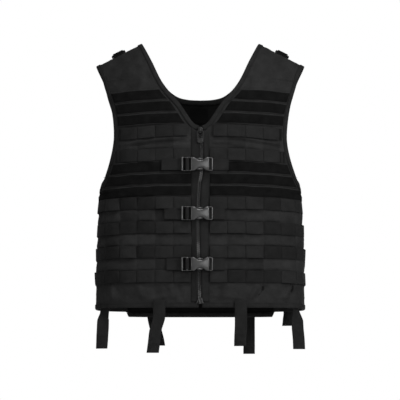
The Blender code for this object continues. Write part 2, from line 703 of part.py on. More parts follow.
def zip_chain():
    heights = np.linspace(ZIP_BOTTOM_Z, ZIP_TOP_Z - SLIDER_LENGTH / 2, 14)
    height = np.stack([heights, heights], 0)
    turn = np.stack([quarters(-TEETH_HALF, heights), quarters(TEETH_HALF, heights)], 0)
    lay_sheet("zip_teeth", turn, height, TEETH_LOW, TEETH_HIGH, "zip_chain")


def slider_outline(wide, narrow):
    """A slider from the front: a shield, wide at the top."""
    half = SLIDER_LENGTH / 2
    right = [(narrow, -half), (wide, 0.25 * half), (0.8 * wide, half)]
    return right + [(-x, z) for x, z in right[::-1]]


def zip_sliders():
    middle = SLIDER_LIFT + SLIDER_HIGH / 2
    top = ZIP_TOP_Z - SLIDER_LENGTH / 2
    shield = slider_outline(TOP_SLIDER_WIDE, TOP_SLIDER_NARROW)
    slider = extruded("zip_slider_top", shield, SLIDER_HIGH, "zip_metal", (0, front_y(top, middle), top))
    join_bail(slider)
    low = ZIP_BOTTOM_Z + SLIDER_LENGTH / 2
    turned = [(x, -z) for x, z in slider_outline(LOW_SLIDER_WIDE, LOW_SLIDER_NARROW)][::-1]
    extruded("zip_slider_bottom", turned, SLIDER_HIGH, "zip_metal", (0, front_y(low, middle), low))


def pull_axis():
    """Y and height of the pull's bar, in the slider's bail."""
    top = ZIP_TOP_Z - SLIDER_LENGTH / 2
    return front_y(top, SLIDER_LIFT + SLIDER_HIGH + BAIL_IN + BAIL_FREE), top - PULL_BAR


def join_bail(slider):
    """An arch over the pull's bar, standing on the slider's face, joined to it."""
    y, z = pull_axis()
    angles = np.linspace(0, math.pi, 7)
    grids = []
    for radius in (BAIL_OUT, BAIL_IN):
        arch = [(radius * math.cos(a), -radius * math.sin(a)) for a in angles]
        path = [(radius, BAIL_FOOT), *arch, (-radius, BAIL_FOOT)]
        grids.append(np.array([[(x, y + back, z + up) for x in (-BAIL_HALF, BAIL_HALF)] for up, back in path]))
    bail = closed_sheet("cutter_bail", grids[0], grids[1], "zip_metal")
    combine(slider, bail, "UNION", "bail")


def zip_pull():
    """An open frame: two legs, a foot, and a round bar at its top that turns in the bail."""
    y, z = pull_axis()
    pivot = bpy.data.objects.new("pull_pivot", None)
    pivot.location = (0, y, z)
    bpy.context.scene.collection.objects.link(pivot)
    inner = PULL_HALF - PULL_LEG
    foot = PULL_FOOT - PULL_LENGTH
    right = [(PULL_HALF, -PULL_LENGTH), (PULL_HALF, PULL_BAR), (inner, PULL_BAR), (inner, foot)]
    outline = right + [(-x, up) for x, up in right[::-1]]
    pull = extruded("zip_pull", outline, 2 * PULL_BAR, "zip_metal")
    pull.parent = pivot
    sides = 10
    reach = inner + PULL_BAR_IN
    angles = np.arange(sides) * math.tau / sides
    ring = [(PULL_BAR * math.cos(a), PULL_BAR * math.sin(a)) for a in angles]
    points = np.array([(x, *place) for place in ring for x in (-reach, reach)])
    count = 2 * sides
    faces = [(2 * k, 2 * k + 1, (2 * k + 3) % count, (2 * k + 2) % count) for k in range(sides)]
    faces += [range(0, count, 2), range(count - 1, 0, -2)]
    bar = make_object("cutter_pull_bar", points, faces, "zip_metal")
    bar.parent = pivot
    combine(pull, bar, "UNION", "bar")


def both_halves(outline):
    """The whole outline from its upper half, which runs from right to left."""
    return [*outline, *[(x, -z) for x, z in outline[::-1]]]


def buckles():
    """Socket: a waisted shell with an open mouth and a bar. Prongs: a ladder frame with two sprung arms."""
    socket_line = [(x * MM, z * MM) for x, z in both_halves(SOCKET_OUTLINE)]
    prong_line = [(x * MM, z * MM) for x, z in [*both_halves(PRONG_OUTLINE), *PRONG_FORK]]
    middle = BUCKLE_UNDER + SOCKET_THICK / 2
    for name, height in BUCKLES:
        centre = (0, front_y(height, middle), height)
        socket = extruded(f"buckle_socket_{name}", socket_line, SOCKET_THICK, "buckle_plastic", centre)
        cut_through(socket, SOCKET_MOUTH, "mouth")
        cut_through(socket, SOCKET_SLOT, "slot")
        prong = extruded(f"buckle_prong_{name}", prong_line, PRONG_THICK, "buckle_plastic", centre)
        cut_through(prong, PRONG_OUTER_SLOT, "outer_slot")
        cut_through(prong, PRONG_INNER_SLOT, "inner_slot")


def ribbon(name, path, thickness, half_across, place, finish):
    """Webbing bent along a path of two coordinates. place turns a path point and a width into a point."""
    path = np.asarray(path, float)
    along = np.gradient(path, axis=0)
    along /= np.linalg.norm(along, axis=1, keepdims=True)
    side = np.stack([-along[:, 1], along[:, 0]], -1) * thickness / 2
    grids = []
    for line in (path + side, path - side):
        grids.append(np.array([[place(p, across) for across in (-half_across, half_across)] for p in line]))
    return closed_sheet(name, grids[0], grids[1], finish)


def buckle_webbing():
    """The tabs that hold each buckle half: sewn flat to the front, then turned round its bar."""
    for name, height in BUCKLES:

        def place(point, across, height=height):
            return on_cloth(quarters(point[0], height), height, np.asarray(point[1])) + (0, 0, across)

        for side, path in (("left", TAB_LEFT), ("right", TAB_RIGHT)):
            ribbon(f"buckle_web_{name}_{side}", np.array(path) * MM, TAB_THICK, WEBBING / 2, place, "webbing")


def belt_straps():
    """Webbing sewn over the hem, or inside it, that hangs free below it and turns as it hangs."""
    for name, place_mm, face, inside, above, end, sway, turned in BELT_STRAPS:
        start = place_mm * MM
        side = 1 if face == "front" else -1
        low = -(CLOTH + STRAP_INSIDE + TAPE) if inside else LAYER_GAP + TAPE + STRAP_GAP
        hem = HEM_Z if face == "front" or abs(start) > BACK_HEM_HALF else BACK_HEM_Z
        heights = np.array([hem + above * MM, hem - STRAP_SEWN, *np.linspace(hem - 4 * STRAP_SEWN, end * MM, 6)])
        share = np.clip((hem - heights) / (hem - end * MM), 0, 1)[:, None, None]
        moved = np.interp(share, np.linspace(0, 1, len(sway)), sway) * MM
        angle = np.radians(np.interp(share, np.linspace(0, 1, len(turned)), turned))
        across = np.array([-1, 1])[None, :, None] * WEBBING / 2
        turn = quarters(start + across[0, :, 0], HEM_Z)
        middle = quarters(start, HEM_Z)
        if face == "back":
            turn, middle = 2 - turn, 2 - middle
        out = outward(middle, HEM_Z) * (1, 1, 0)
        along = np.cross((0, 0, side), out)
        free = np.clip(share / STRAP_FREE, 0, 1)
        grids = []
        for lift in (low + TAPE, low):
            sewn = on_cloth(turn, HEM_Z, lift) * (1, 1, 0)
            facing = out * np.cos(angle) - side * along * np.sin(angle)
            hung = on_cloth(middle, HEM_Z, low) * (1, 1, 0) + facing * (lift - low)
            hung = hung + across * (along * np.cos(angle) + side * out * np.sin(angle))
            rows = sewn * (1 - free) + hung * free + moved * (1, 0, 0) + heights[:, None, None] * (0, 0, 1)
            grids.append(rows)
        closed_sheet(f"belt_strap_{name}", grids[0], grids[1], "webbing")


def seam_frame(side):
    """At a shoulder ring: a point on the seam, the way along the seam, and the way square up off it."""
    point = np.array([side * RING_X, 0, float(ridge_height(RING_X))])
    along = np.array([math.cos(SEAM_FALL), 0, -side * math.sin(SEAM_FALL)])
    up = np.array([side * math.sin(SEAM_FALL), 0, math.cos(SEAM_FALL)])
    return point, along, up


def seam_top(back):
    """How far the cloth lies below the seam's line, at a distance in front of or behind it."""
    share = min(abs(back) / (float(half_depth(0.0)) * SEAM_PLAN), 1)
    return SHOULDER_DROP * (1 - (1 - share**SHOULDER_POWER) ** (1 / SHOULDER_POWER))


def ring_keepers():
    """Webbing over the shoulder, looped round the ring's bar: flat, round the bar, and flat again."""
    loop = RING_BAR + KEEPER_ROUND + TAPE / 2
    angles = np.radians(np.linspace(*KEEPER_WRAP, 12))
    round_bar = [(RING_BACK - loop * math.cos(a), RING_LIFT + loop * math.sin(a)) for a in angles]
    ahead, behind = (
        [(y * MM, KEEPER_LIFT - seam_top(y * MM)) for y in stretch] for stretch in (KEEPER_AHEAD, KEEPER_BEHIND)
    )
    for name, side in (("left", -1), ("right", 1)):
        point, along, up = seam_frame(side)

        def place(step, across, point=point, along=along, up=up):
            return point + along * across + up * step[1] + np.array([0, step[0], 0])

        ribbon(f"ring_keeper_{name}", [*ahead, *round_bar, *behind], TAPE, KEEPER_HALF, place, "webbing")


def shoulder_rings():
    """A D: a straight round bar, and an arch of the same rod from end to end of it."""
    half = RING_WIDTH / 2 - RING_BAR
    rise = RING_HEIGHT - 2 * RING_BAR
    leg, bow = rise * RING_LEG, rise * (1 - RING_LEG)
    arch = [(half * math.cos(a), leg + bow * math.sin(a)) for a in np.linspace(0, math.pi, 9)]
    line = np.array([(-half, 0), (0, 0), (half, 0), *arch])
    ahead = np.roll(line, -1, axis=0) - np.roll(line, 1, axis=0)
    ahead /= np.linalg.norm(ahead, axis=1, keepdims=True)
    sides = 8
    for name, side in (("left", -1), ("right", 1)):
        point, along, up = seam_frame(side)
        pivot = bpy.data.objects.new(f"ring_pivot_{name}", None)
        pivot.location = point + up * RING_LIFT + np.array([0, RING_BACK, 0])
        bpy.context.scene.collection.objects.link(pivot)
        rising = up * math.cos(RING_LEAN) + np.array([0, math.sin(RING_LEAN), 0])
        across = np.cross(along, rising)
        rows = []
        for spot, way in zip(line, ahead):
            centre = along * spot[0] + rising * spot[1]
            outer_way = along * way[1] - rising * way[0]
            angles = np.arange(sides) * math.tau / sides + math.pi / sides
            rows.append([centre + RING_BAR * (outer_way * math.cos(a) + across * math.sin(a)) for a in angles])
        grid = np.array(rows)
        count = len(grid)
        faces = []
        for i in range(count):
            for j in range(sides):
                a, b = i * sides + j, i * sides + (j + 1) % sides
                c, d = ((i + 1) % count) * sides + (j + 1) % sides, ((i + 1) % count) * sides + j
                faces.append((a, b, c, d))
        ring = make_object(f"shoulder_ring_{name}", grid.reshape(-1, 3), faces, "ring_plastic")
        ring.parent = pivot


def neck_label():
    """A bare woven label on the inside of the back, under the neck."""
    height = np.broadcast_to(LABEL_UP * MM, (len(LABEL_ACROSS), len(LABEL_UP)))
    turn = 2 + quarters(LABEL_ACROSS[:, None] * MM, height)
    under = -CLOTH - LAYER_GAP
    lay_sheet("neck_label", turn, height, under - LABEL_THICK, under, "label")


def build():
    clear_scene()
    finish_of("cloth", "242526", 0.82)
    finish_of("webbing", "1f2021", 0.74)
    finish_of("binding", "2a2b2c", 0.7)
    finish_of("loop_pile", "121213", 0.95)
    finish_of("zip_chain", "1a1a1b", 0.45)
    finish_of("zip_metal", "2d2e30", 0.35, 0.8)
    finish_of("buckle_plastic", "303133", 0.42)
    finish_of("ring_plastic", "1b1c1d", 0.3)
    finish_of("label", "060606", 0.6)
    front_panels()
    back_panel()
    armhole_bindings()
    neck_binding()
    hem_binding()
    loop_patches()
    front_webbing()
    back_webbing()
    plackets()
    zip_chain()
    zip_sliders()
    zip_pull()
    buckles()
    buckle_webbing()
    belt_straps()
    ring_keepers()
    shoulder_rings()
    neck_label()


build()
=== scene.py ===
"""The looks of a black nylon load-bearing vest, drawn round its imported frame.

Lengths are in millimetres, except where a line says otherwise. The front faces -Y and the wearer's left is
at +X. A place on the cloth is a distance round the body, from the zip on the front and from the middle of the
back behind, with a height. Heights are below the shoulders, so most are negative."""

import math

import bpy
import numpy as np
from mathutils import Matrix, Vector


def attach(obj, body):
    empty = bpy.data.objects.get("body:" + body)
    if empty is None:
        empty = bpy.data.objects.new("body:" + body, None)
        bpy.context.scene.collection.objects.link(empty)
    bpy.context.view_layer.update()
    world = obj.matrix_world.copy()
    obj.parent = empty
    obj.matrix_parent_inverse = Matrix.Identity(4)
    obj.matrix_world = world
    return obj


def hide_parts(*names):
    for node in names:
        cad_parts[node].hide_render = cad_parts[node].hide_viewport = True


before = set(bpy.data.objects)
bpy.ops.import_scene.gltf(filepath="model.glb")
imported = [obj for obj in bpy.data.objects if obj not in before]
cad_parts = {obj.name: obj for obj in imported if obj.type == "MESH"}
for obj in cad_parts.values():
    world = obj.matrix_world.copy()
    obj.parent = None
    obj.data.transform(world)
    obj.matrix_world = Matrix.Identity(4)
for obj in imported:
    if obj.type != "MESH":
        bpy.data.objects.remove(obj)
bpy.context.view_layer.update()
MM = 0.001


# The camera and the studio
# The vest hangs at chest height before a white cyclorama, and the lens is long and a little below it, looking
# up. Soft boxes keep black nylon readable: a key at the right, a weak fill at the left that leaves that flank
# darker, one over the middle for the tops of folds and webbing, one by the lens and one behind.
def aimed(data, name, place, target):
    """An object in the scene at a place in metres, turned to face a target."""
    obj = bpy.data.objects.new(name, data)
    bpy.context.scene.collection.objects.link(obj)
    obj.location = place
    obj.rotation_euler = (Vector(target) - Vector(place)).to_track_quat("-Z", "Y").to_euler()
    return obj


EYE, AIM_HEIGHT = (-0.0007, -3.978, -0.730), -0.312  # metres
lens = bpy.data.cameras.new("lens")
lens.sensor_width = 36
lens.lens = 168.1
bpy.context.scene.camera = aimed(lens, "camera", EYE, (EYE[0], 0, AIM_HEIGHT))

# name, place and width in metres, power in watts
for name, place, width, power in (
    ("key_box", (2.0, -2.0, 0.5), 1.0, 31),
    ("top_box", (0.1, -1.9, 2.5), 1.0, 37),
    ("fill_box", (-2.2, -2.6, 0.4), 1.8, 4),
    ("lens_box", (0.25, -4.3, 0.07), 0.6, 11),
    ("back_box", (0.4, 2.6, 0.1), 1.6, 8),
):
    light = bpy.data.lights.new(name, "AREA")
    light.shape = "SQUARE"
    light.size = width
    light.energy = power
    aimed(light, name, place, (0, 0, -0.3))

bpy.context.scene.view_settings.view_transform = "Standard"
world = bpy.data.worlds.new("studio")
bpy.context.scene.world = world
world.use_nodes = True


def wire(tree, node, inputs):
    """Sets a node's inputs, and links those whose value is another node's socket."""
    for name, value in inputs.items():
        if isinstance(value, bpy.types.NodeSocket):
            tree.links.new(value, node.inputs[name])
        else:
            node.inputs[name].default_value = value


def add(tree, kind, inputs=None, **settings):
    """One node with its settings, its values and its links."""
    made = tree.nodes.new(kind)
    for name, value in settings.items():
        setattr(made, name, value)
    wire(tree, made, inputs or {})
    return made


tree = world.node_tree
tree.nodes.clear()
seen = add(tree, "ShaderNodeLightPath").outputs["Is Camera Ray"]
soft, white = (
    add(tree, "ShaderNodeBackground", {"Color": (1, 1, 1, 1), "Strength": strength}).outputs[0]
    for strength in (0.14, 1.0)
)
sky = add(tree, "ShaderNodeMixShader", {0: seen, 1: soft, 2: white}).outputs[0]
add(tree, "ShaderNodeOutputWorld", {"Surface": sky})


def noise(tree, place, scale, detail, roughness=0.5):
    """Fractal noise over a place, most of it between 0.3 and 0.7."""
    return add(tree, "ShaderNodeTexNoise", {
        "Vector": place, "Scale": scale, "Detail": detail, "Roughness": roughness,
    }).outputs["Fac"]


def ranged(tree, value, low, high, start=0.0, end=1.0):
    """A value's range, start to end, stretched to low to high and held at the ends."""
    return add(tree, "ShaderNodeMapRange", {
        "Value": value, "From Min": start, "From Max": end, "To Min": low, "To Max": high,
    }).outputs[0]


def bumped(tree, height, strength, distance=0.0003):
    """The normal of a surface with a relief of a height, distance metres deep."""
    return add(tree, "ShaderNodeBump", {
        "Height": height, "Strength": strength, "Distance": distance,
    }).outputs[0]


def over_object(tree):
    """Places on the object in metres, which a pattern on a hard piece follows."""
    return add(tree, "ShaderNodeTexCoord").outputs["Object"]


def finish_of(name, slot=None):
    """A new material with an empty Principled shader: the material, its tree and its shader."""
    made = bpy.data.materials.new(name)
    made.use_nodes = True
    if slot:
        made["slot"] = slot
    return made, made.node_tree, made.node_tree.nodes["Principled BSDF"]


def linear(hex_colour):
    """An sRGB hex colour as the linear colour that a shader takes."""
    channels = [int(hex_colour[i : i + 2], 16) / 255 for i in (0, 2, 4)]
    return (*[c / 12.92 if c <= 0.04045 else ((c + 0.055) / 1.055) ** 2.4 for c in channels], 1)


def hard(name, slot, blotch, tone, rough, grain, relief, specular=0.5):
    """A hard finish: slow blotches vary its tone or its shine, and a fine grain breaks up its highlights.
    blotch and grain are a noise's scale and detail; tone and rough are each a range, or one value."""
    made, tree, shader = finish_of(name, slot)
    place = over_object(tree)
    slow = noise(tree, place, *blotch)
    wire(tree, shader, {
        "Base Color": ranged(tree, slow, *tone) if isinstance(tone, tuple) else linear(tone),
        "Roughness": ranged(tree, slow, *rough) if isinstance(rough, tuple) else rough,
        "Normal": bumped(tree, noise(tree, place, *grain), relief),
        "Specular IOR Level": specular,
    })
    return made


def sheet_faces(rows, columns):
    """Faces of a grid of points, of four corners each."""
    index = np.arange(rows * columns).reshape(rows, columns)
    return np.stack([index[:-1, :-1], index[:-1, 1:], index[1:, 1:], index[1:, :-1]], -1).reshape(-1, 4)


def put(name, points, faces, finish, replaces=(), place=None, body="vest", part=None, sharp=None):
    """A piece of the vest from points in millimetres and faces of four corners, turned to face out. place is
    where each point lies on its own cloth or tape, which the weave follows; part numbers each face's
    finish."""
    points = points.reshape(-1, 3)
    a, b, c, d = np.moveaxis(points[faces], 1, 0)
    if np.einsum("ij,ij->", a, np.cross(b, c) + np.cross(c, d)) < 0:
        faces = faces[:, ::-1]
    mesh = bpy.data.meshes.new(name)
    mesh.vertices.add(len(points))
    mesh.vertices.foreach_set("co", (points * MM).ravel())
    mesh.loops.add(faces.size)
    mesh.loops.foreach_set("vertex_index", np.ascontiguousarray(faces).ravel())
    mesh.polygons.add(len(faces))
    mesh.polygons.foreach_set("loop_start", np.arange(0, faces.size, 4))
    if part is not None:
        mesh.polygons.foreach_set("material_index", part)
    mesh.update(calc_edges=True)
    mesh.shade_smooth()
    if sharp is not None:
        mesh.set_sharp_from_angle(angle=math.radians(sharp))
    if place is not None:
        laid_out = mesh.attributes.new("cloth_mm", "FLOAT_VECTOR", "POINT")
        laid_out.data.foreach_set("vector", np.ascontiguousarray(place, np.float32).ravel())
    for each in finish if isinstance(finish, (list, tuple)) else [finish]:
        mesh.materials.append(each)
    obj = bpy.data.objects.new(name, mesh)
    bpy.context.scene.collection.objects.link(obj)
    if body:
        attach(obj, body)
    if replaces:
        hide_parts(*replaces)
    return obj


# matt paper: slow clouds of tone a little either side of off-white, and a fine tooth
paper = hard("floor_paper", None, (2.0, 4.0), (0.78, 0.83), 0.85, (900.0, 2.0), 0.1)
FLOOR, FLOOR_HALF = -1150.0, 4000
floor_points = np.array([(x, y, FLOOR) for x in (-FLOOR_HALF, FLOOR_HALF) for y in (-FLOOR_HALF, FLOOR_HALF)])
put("floor", floor_points, np.array([[0, 2, 3, 1]]), paper, body=None)


# The worn form
# Nothing here is seen. The cloth of a worn vest takes the form of a chest: a rounded rectangle in plan, drawn
# in to the two shoulder seams at the top. All the pieces are laid on this form.
SIDES = ((-1, "left"), (1, "right"))
SECTION_POWER = 2.9  # how square the plan is: 2 is an ellipse
SECTION_RATIO = 1.92  # its width over its depth
SHOULDER_DROP = 175  # the height over which the chest leans in to the shoulder seam
SHOULDER_POWER = 2.2
RIDGE_IN = (127, 24)  # the shoulder seam's neck end: across, height
RIDGE_OUT = (223, -24.5)
SEAM_FALL = math.atan2(RIDGE_IN[1] - RIDGE_OUT[1], RIDGE_OUT[0] - RIDGE_IN[0])
# height, half width, half depth
BODY = np.array([
    (-640, 222, 112), (-500, 221, 113), (-430, 219, 114), (-330, 215, 116), (-290, 213.5, 117),
    (-230, 211, 118), (-160, 211, 118), (-110, 218, 118), (-70, 233, 117), (-30, 254, 114), (40, 280, 112),
], float)

angle = np.linspace(0, np.pi / 2, 1500)
WIDE = np.sin(angle) ** (2 / SECTION_POWER)
DEEP = np.cos(angle) ** (2 / SECTION_POWER)
RUN = np.concatenate([[0], np.cumsum(np.hypot(np.diff(WIDE) * SECTION_RATIO, np.diff(DEEP)))])
QUARTER = RUN[-1] / SECTION_RATIO  # length of a quarter of the plan, for a half width of 1
RUN = RUN / RUN[-1]


def lengths(line):
    """Distance run along a line of points, at each of them."""
    return np.concatenate([[0], np.cumsum(np.linalg.norm(np.diff(line, axis=0), axis=1))])


def unit(vectors):
    """Vectors made one long."""
    return vectors / np.linalg.norm(vectors, axis=-1, keepdims=True)


def eased(at, knots, values):
    """A smooth curve through a table of values. Its slope at each knot is that between the neighbours."""
    slope = np.gradient(values, knots)
    k = np.clip(np.searchsorted(knots, at, side="right") - 1, 0, len(knots) - 2)
    step = knots[k + 1] - knots[k]
    t = np.clip((at - knots[k]) / step, 0, 1)
    low = (1 + 2 * t) * (1 - t) ** 2 * values[k] + t * (1 - t) ** 2 * step * slope[k]
    return low + t**2 * (3 - 2 * t) * values[k + 1] + t**2 * (t - 1) * step * slope[k + 1]


def half_width(z):
    """The chest's half width at a height."""
    return eased(np.asarray(z, float), BODY[:, 0], BODY[:, 1])


def half_depth(z):
    """The chest's half depth at a height."""
    return eased(np.asarray(z, float), BODY[:, 0], BODY[:, 2])


def quarter(z):
    """Distance round from the zip, or from the middle of the back, to the side seam at a height."""
    return half_width(z) * QUARTER


def turn_of(s, z, face):
    """The form's turn at a distance round and a height, on the front (face 1) or the back (face -1)."""
    return s / quarter(z) if face > 0 else 2 - s / quarter(z)


def ridge_height(x):
    """Height of the shoulder seam's line over x."""
    slope = (RIDGE_OUT[1] - RIDGE_IN[1]) / (RIDGE_OUT[0] - RIDGE_IN[0])
    return RIDGE_IN[1] + slope * np.maximum(np.abs(x) - RIDGE_IN[0], 0)


def form(turn, z):
    """The cloth's outer face. turn counts quarters round the body: 0 the zip, 1 the side seam at +X, 2 the
    middle of the back. At each height it is the curve |x|^n + |y|^n = 1, drawn in to the shoulder seam over
    its top."""
    turn, z = np.broadcast_arrays(np.asarray(turn, float), np.asarray(z, float))
    lap = np.mod(turn, 4)
    half = np.where(lap > 2, 4 - lap, lap)
    share = np.where(half > 1, 2 - half, half)
    x = np.where(lap > 2, -1, 1) * half_width(z) * np.interp(share, RUN, WIDE)
    drop = np.clip((ridge_height(x) - z) / SHOULDER_DROP, 0, 1)
    lean = (1 - (1 - drop) ** SHOULDER_POWER) ** (1 / SHOULDER_POWER)
    y = np.where(half > 1, 1, -1) * half_depth(z) * np.interp(share, RUN, DEEP) * lean
    return np.stack([x, y, z], -1)


def outward(turn, z):
    """Unit normals of the form. Within half a millimetre of the shoulder seam they stand square up off it."""
    turn, z = np.broadcast_arrays(np.asarray(turn, float), np.asarray(z, float))
    step = 2.0 / quarter(z)
    across = form(turn + step, z) - form(turn - step, z)
    up = form(turn, z) - form(turn, z - 1.0)
    normal = np.cross(across, up)
    normal /= np.maximum(np.linalg.norm(normal, axis=-1, keepdims=True), 1e-9)
    place = form(turn, z)
    level = np.zeros_like(z)
    seam = np.stack([np.sign(place[..., 0]) * math.sin(SEAM_FALL), level, level + math.cos(SEAM_FALL)], -1)
    return np.where((ridge_height(place[..., 0]) - z < 0.5)[..., None], seam, normal)


def ripple(s, z, length, seed):
    """Smooth unevenness between about -1 and 1: eight waves of about one length, in seeded directions."""
    waves = np.random.default_rng(seed)
    total = 0.0
    for _ in range(8):
        heading, phase = waves.uniform(0, np.pi), waves.uniform(0, 2 * np.pi)
        k = 2 * np.pi / (length * waves.uniform(0.7, 1.4))
        total = total + np.sin(k * (s * np.cos(heading) + z * np.sin(heading)) + phase)
    return total / 3.4


def rise(value):
    """From 0 to 1 as the value goes from 0 to 1, level at both ends."""
    value = np.clip(value, 0, 1)
    return value**2 * (3 - 2 * value)


def billow(s, z, face):
    """The slow in and out of the whole cloth, a millimetre or so, which every layer follows. It dies out at
    the side seams and at the shoulders."""
    turn = np.abs(s / quarter(z))
    x = half_width(z) * np.interp(np.clip(turn, 0, 1), RUN, WIDE)
    fade = rise((1 - turn) / 0.12) * rise((ridge_height(x) - z) / 60)
    return 1.3 * ripple(s, z, 130, 11 + int(face)) * fade


def laid(s, z, lift, face=1):
    """A point on the front or the back: a distance round, a height, and a lift off the cloth."""
    s, z, lift = (np.asarray(each, float) for each in (s, z, lift))
    s, z, lift = np.broadcast_arrays(s, z, lift)
    turn = turn_of(s, z, face)
    return form(turn, z) + outward(turn, z) * (lift + billow(s, z, face))[..., None]


def spread(s, z):
    """Places on a cloth or a tape in millimetres, a row to each point, for its weave to follow."""
    s, z = np.broadcast_arrays(s, z)
    return np.stack([s, z, 0.0 * s], -1).reshape(-1, 3)


# Cloth panels
# Two fronts and a back of coated plain-weave nylon over thin foam, lined inside. They are sewn together at
# the sides and over the shoulders. Between the rows of webbing the loose cloth puffs out in small pockets.
NECK = np.array([
    (3.2, -169), (10, -167), (17, -161), (27, -147), (45, -120), (62.5, -100.5), (80, -76.5), (104, -26),
    (127, 24),
], float)
BACK_NECK = np.array([
    (0, -80.5), (27.5, -79), (47.5, -74.5), (68, -61.5), (85, -42), (106, -11), (127, 24),
], float)
# quarters of a turn, height
ARMHOLE = np.array([
    (1, -292), (0.9, -289.5), (0.816, -279), (0.757, -257), (0.717, -232), (0.689, -195), (0.69, -165.6),
    (0.7, -125.4), (0.707, -82), (0.691, -52),
], float)
HEM, BACK_HEM, BACK_HEM_HALF = -546, -557, 158
BACK_HEM_STEP = 6  # the back's hem rises to the sides over this
ZIP_EDGE = 3.4  # from the zip's line to the panels' edges
CLOTH = 3.0  # padded wall
ROUNDING = 1.0  # how far a panel's two faces draw together at its edges
SEAM_SHY = 0.005  # fronts and back stop this far short of the side seams' plane
PITCH, COLUMN, FIRST, TAPE = 50.8, 38.1, 17.8, 25.4  # rows, columns of tacks, the first column, tape's width
# A row of webbing runs under each patch, and between the others is a tape's width of bare cloth: bottom, top.
ROW_TOPS = [-165.1 - PITCH * k for k in (0, 1, 3, 4, 5, 6)]
UPPER_PATCH, MIDDLE_PATCH = ((ROW_TOPS[k], ROW_TOPS[k] + 3 * TAPE) for k in (0, 2))
BARE = [(ROW_TOPS[k], ROW_TOPS[k] + TAPE) for k in (1, 3, 4, 5)]
BINDING = 9
YOKE_DROP, YOKE_SLANT, YOKE_FROM = 61, 0.03, 150  # the seam across each shoulder: its height falls outwards


def round_of(x, z):
    """Distance round from the middle for a distance across."""
    return np.sign(x) * np.interp(np.abs(x) / half_width(z), WIDE, RUN) * quarter(z)


def through(line):
    """A smooth curve through a table of places (distance round, height)."""
    run = lengths(line)
    at = np.linspace(0, run[-1], 2400)
    return np.stack([eased(at, run, line[:, 0]), eased(at, run, line[:, 1])], -1)


def along(line, share):
    """Places on a line at shares of its real length over the cloth."""
    run = lengths(form(line[:, 0] / quarter(line[:, 1]), line[:, 1]))
    return np.stack([np.interp(share, run / run[-1], line[:, k]) for k in (0, 1)], -1)


def seam_end(x):
    """The place on the shoulder seam at a distance across."""
    return [round_of(x, ridge_height(x)), ridge_height(x)]


armhole = ARMHOLE.copy()
armhole[:, 0] *= quarter(armhole[:, 1])
armhole = through(np.vstack([armhole, [seam_end(RIDGE_OUT[0])]]))
neck = through(np.stack([round_of(NECK[:, 0], NECK[:, 1]), NECK[:, 1]], -1))
back_neck = through(np.stack([round_of(BACK_NECK[:, 0], BACK_NECK[:, 1]), BACK_NECK[:, 1]], -1))
# The table's ends are exact, so that panels and bindings meet on the shoulder seam.
armhole[-1], neck[-1], back_neck[-1] = seam_end(RIDGE_OUT[0]), seam_end(RIDGE_IN[0]), seam_end(RIDGE_IN[0])

# Folds in the bare cloth: from x, z to x, z, width across it, height. A crease has a negative height.
FOLDS = [
    (-33, -193, -166, -205, 3.2, 3.5), (-30, -198, -150, -209, 2.6, -2.4), (-24, -201, -103, -210, 2.6, -1.9),
    (-26, -205, -110, -213, 3, 2.0), (59, -192, 94, -200, 3, -3.0), (94, -200, 171, -211, 3, -3.2),
    (98, -196, 172, -206, 3.6, 3.0), (26, -203, 64, -203, 2.6, 2.4), (64, -206, 120, -213, 3, 1.6),
    (133, -500, 114, -529, 9, -3.6), (122, -501, 102, -533, 7, 4.5), (198, -497, 184, -530, 8, -3.6),
    (188, -500, 172, -531, 7, 4.2), (64, -500, 52, -528, 9, 3.3), (40, -500, 33, -534, 7, -2.7),
    (-52, -498, -41, -527, 8, -2.2), (-62, -500, -54, -530, 8, 3.6), (-178, -498, -172, -514, 7, -1.6),
    (-188, -503, -180, -530, 7, 2.7), (-130, -500, -118, -531, 9, 3.3), (-96, -498, -88, -532, 10, -1.8),
    (205, -520, 150, -528, 6, 2.4), (-30, -520, -120, -531, 6, 1.8), (20, -524, 90, -531, 5, 1.8),
    (150, -40, 108, -74, 10, 1.6), (190, -30, 176, -80, 12, -1.3), (124, 5, 150, -60, 10, 1.4),
    (-150, -46, -118, -70, 10, 1.6), (-196, -36, -170, -76, 12, -1.4), (-128, 0, -160, -56, 10, 1.3),
    (62, -74, 100, -84, 6, 1.2), (-86, -70, -150, -80, 7, 1.2), (-40, -148, -27, -162, 5, 1.0),
]

# Loose cloth between two rows of webbing, by cells from the zip out: how far it stands off, in mm. Where the
# number is negative its fullest line lies high in the band, so that it hangs over; elsewhere it lies low.
PUFFS = {
    (0, -1): (0.5, 0.8, 1.0, 0.9, 0.5, 0.5), (0, 1): (0.6, 1.0, 1.2, 1.0, 0.5, 0.5),
    (1, -1): (1.4, -1.6, 3.0, -2.2, 3.0, 2.0), (1, 1): (1.2, 2.8, 3.2, 2.6, -2.4, -1.8),
    (2, -1): (2.6, 2.4, 2.2, 3.0, 2.6, 1.4), (2, 1): (2.2, 2.4, 3.6, 3.2, 3.8, -2.0),
    (3, -1): (1.6, -2.0, 2.4, 2.8, 2.2, 1.2), (3, 1): (1.4, 2.6, 2.2, 1.8, 2.8, -2.2),
}


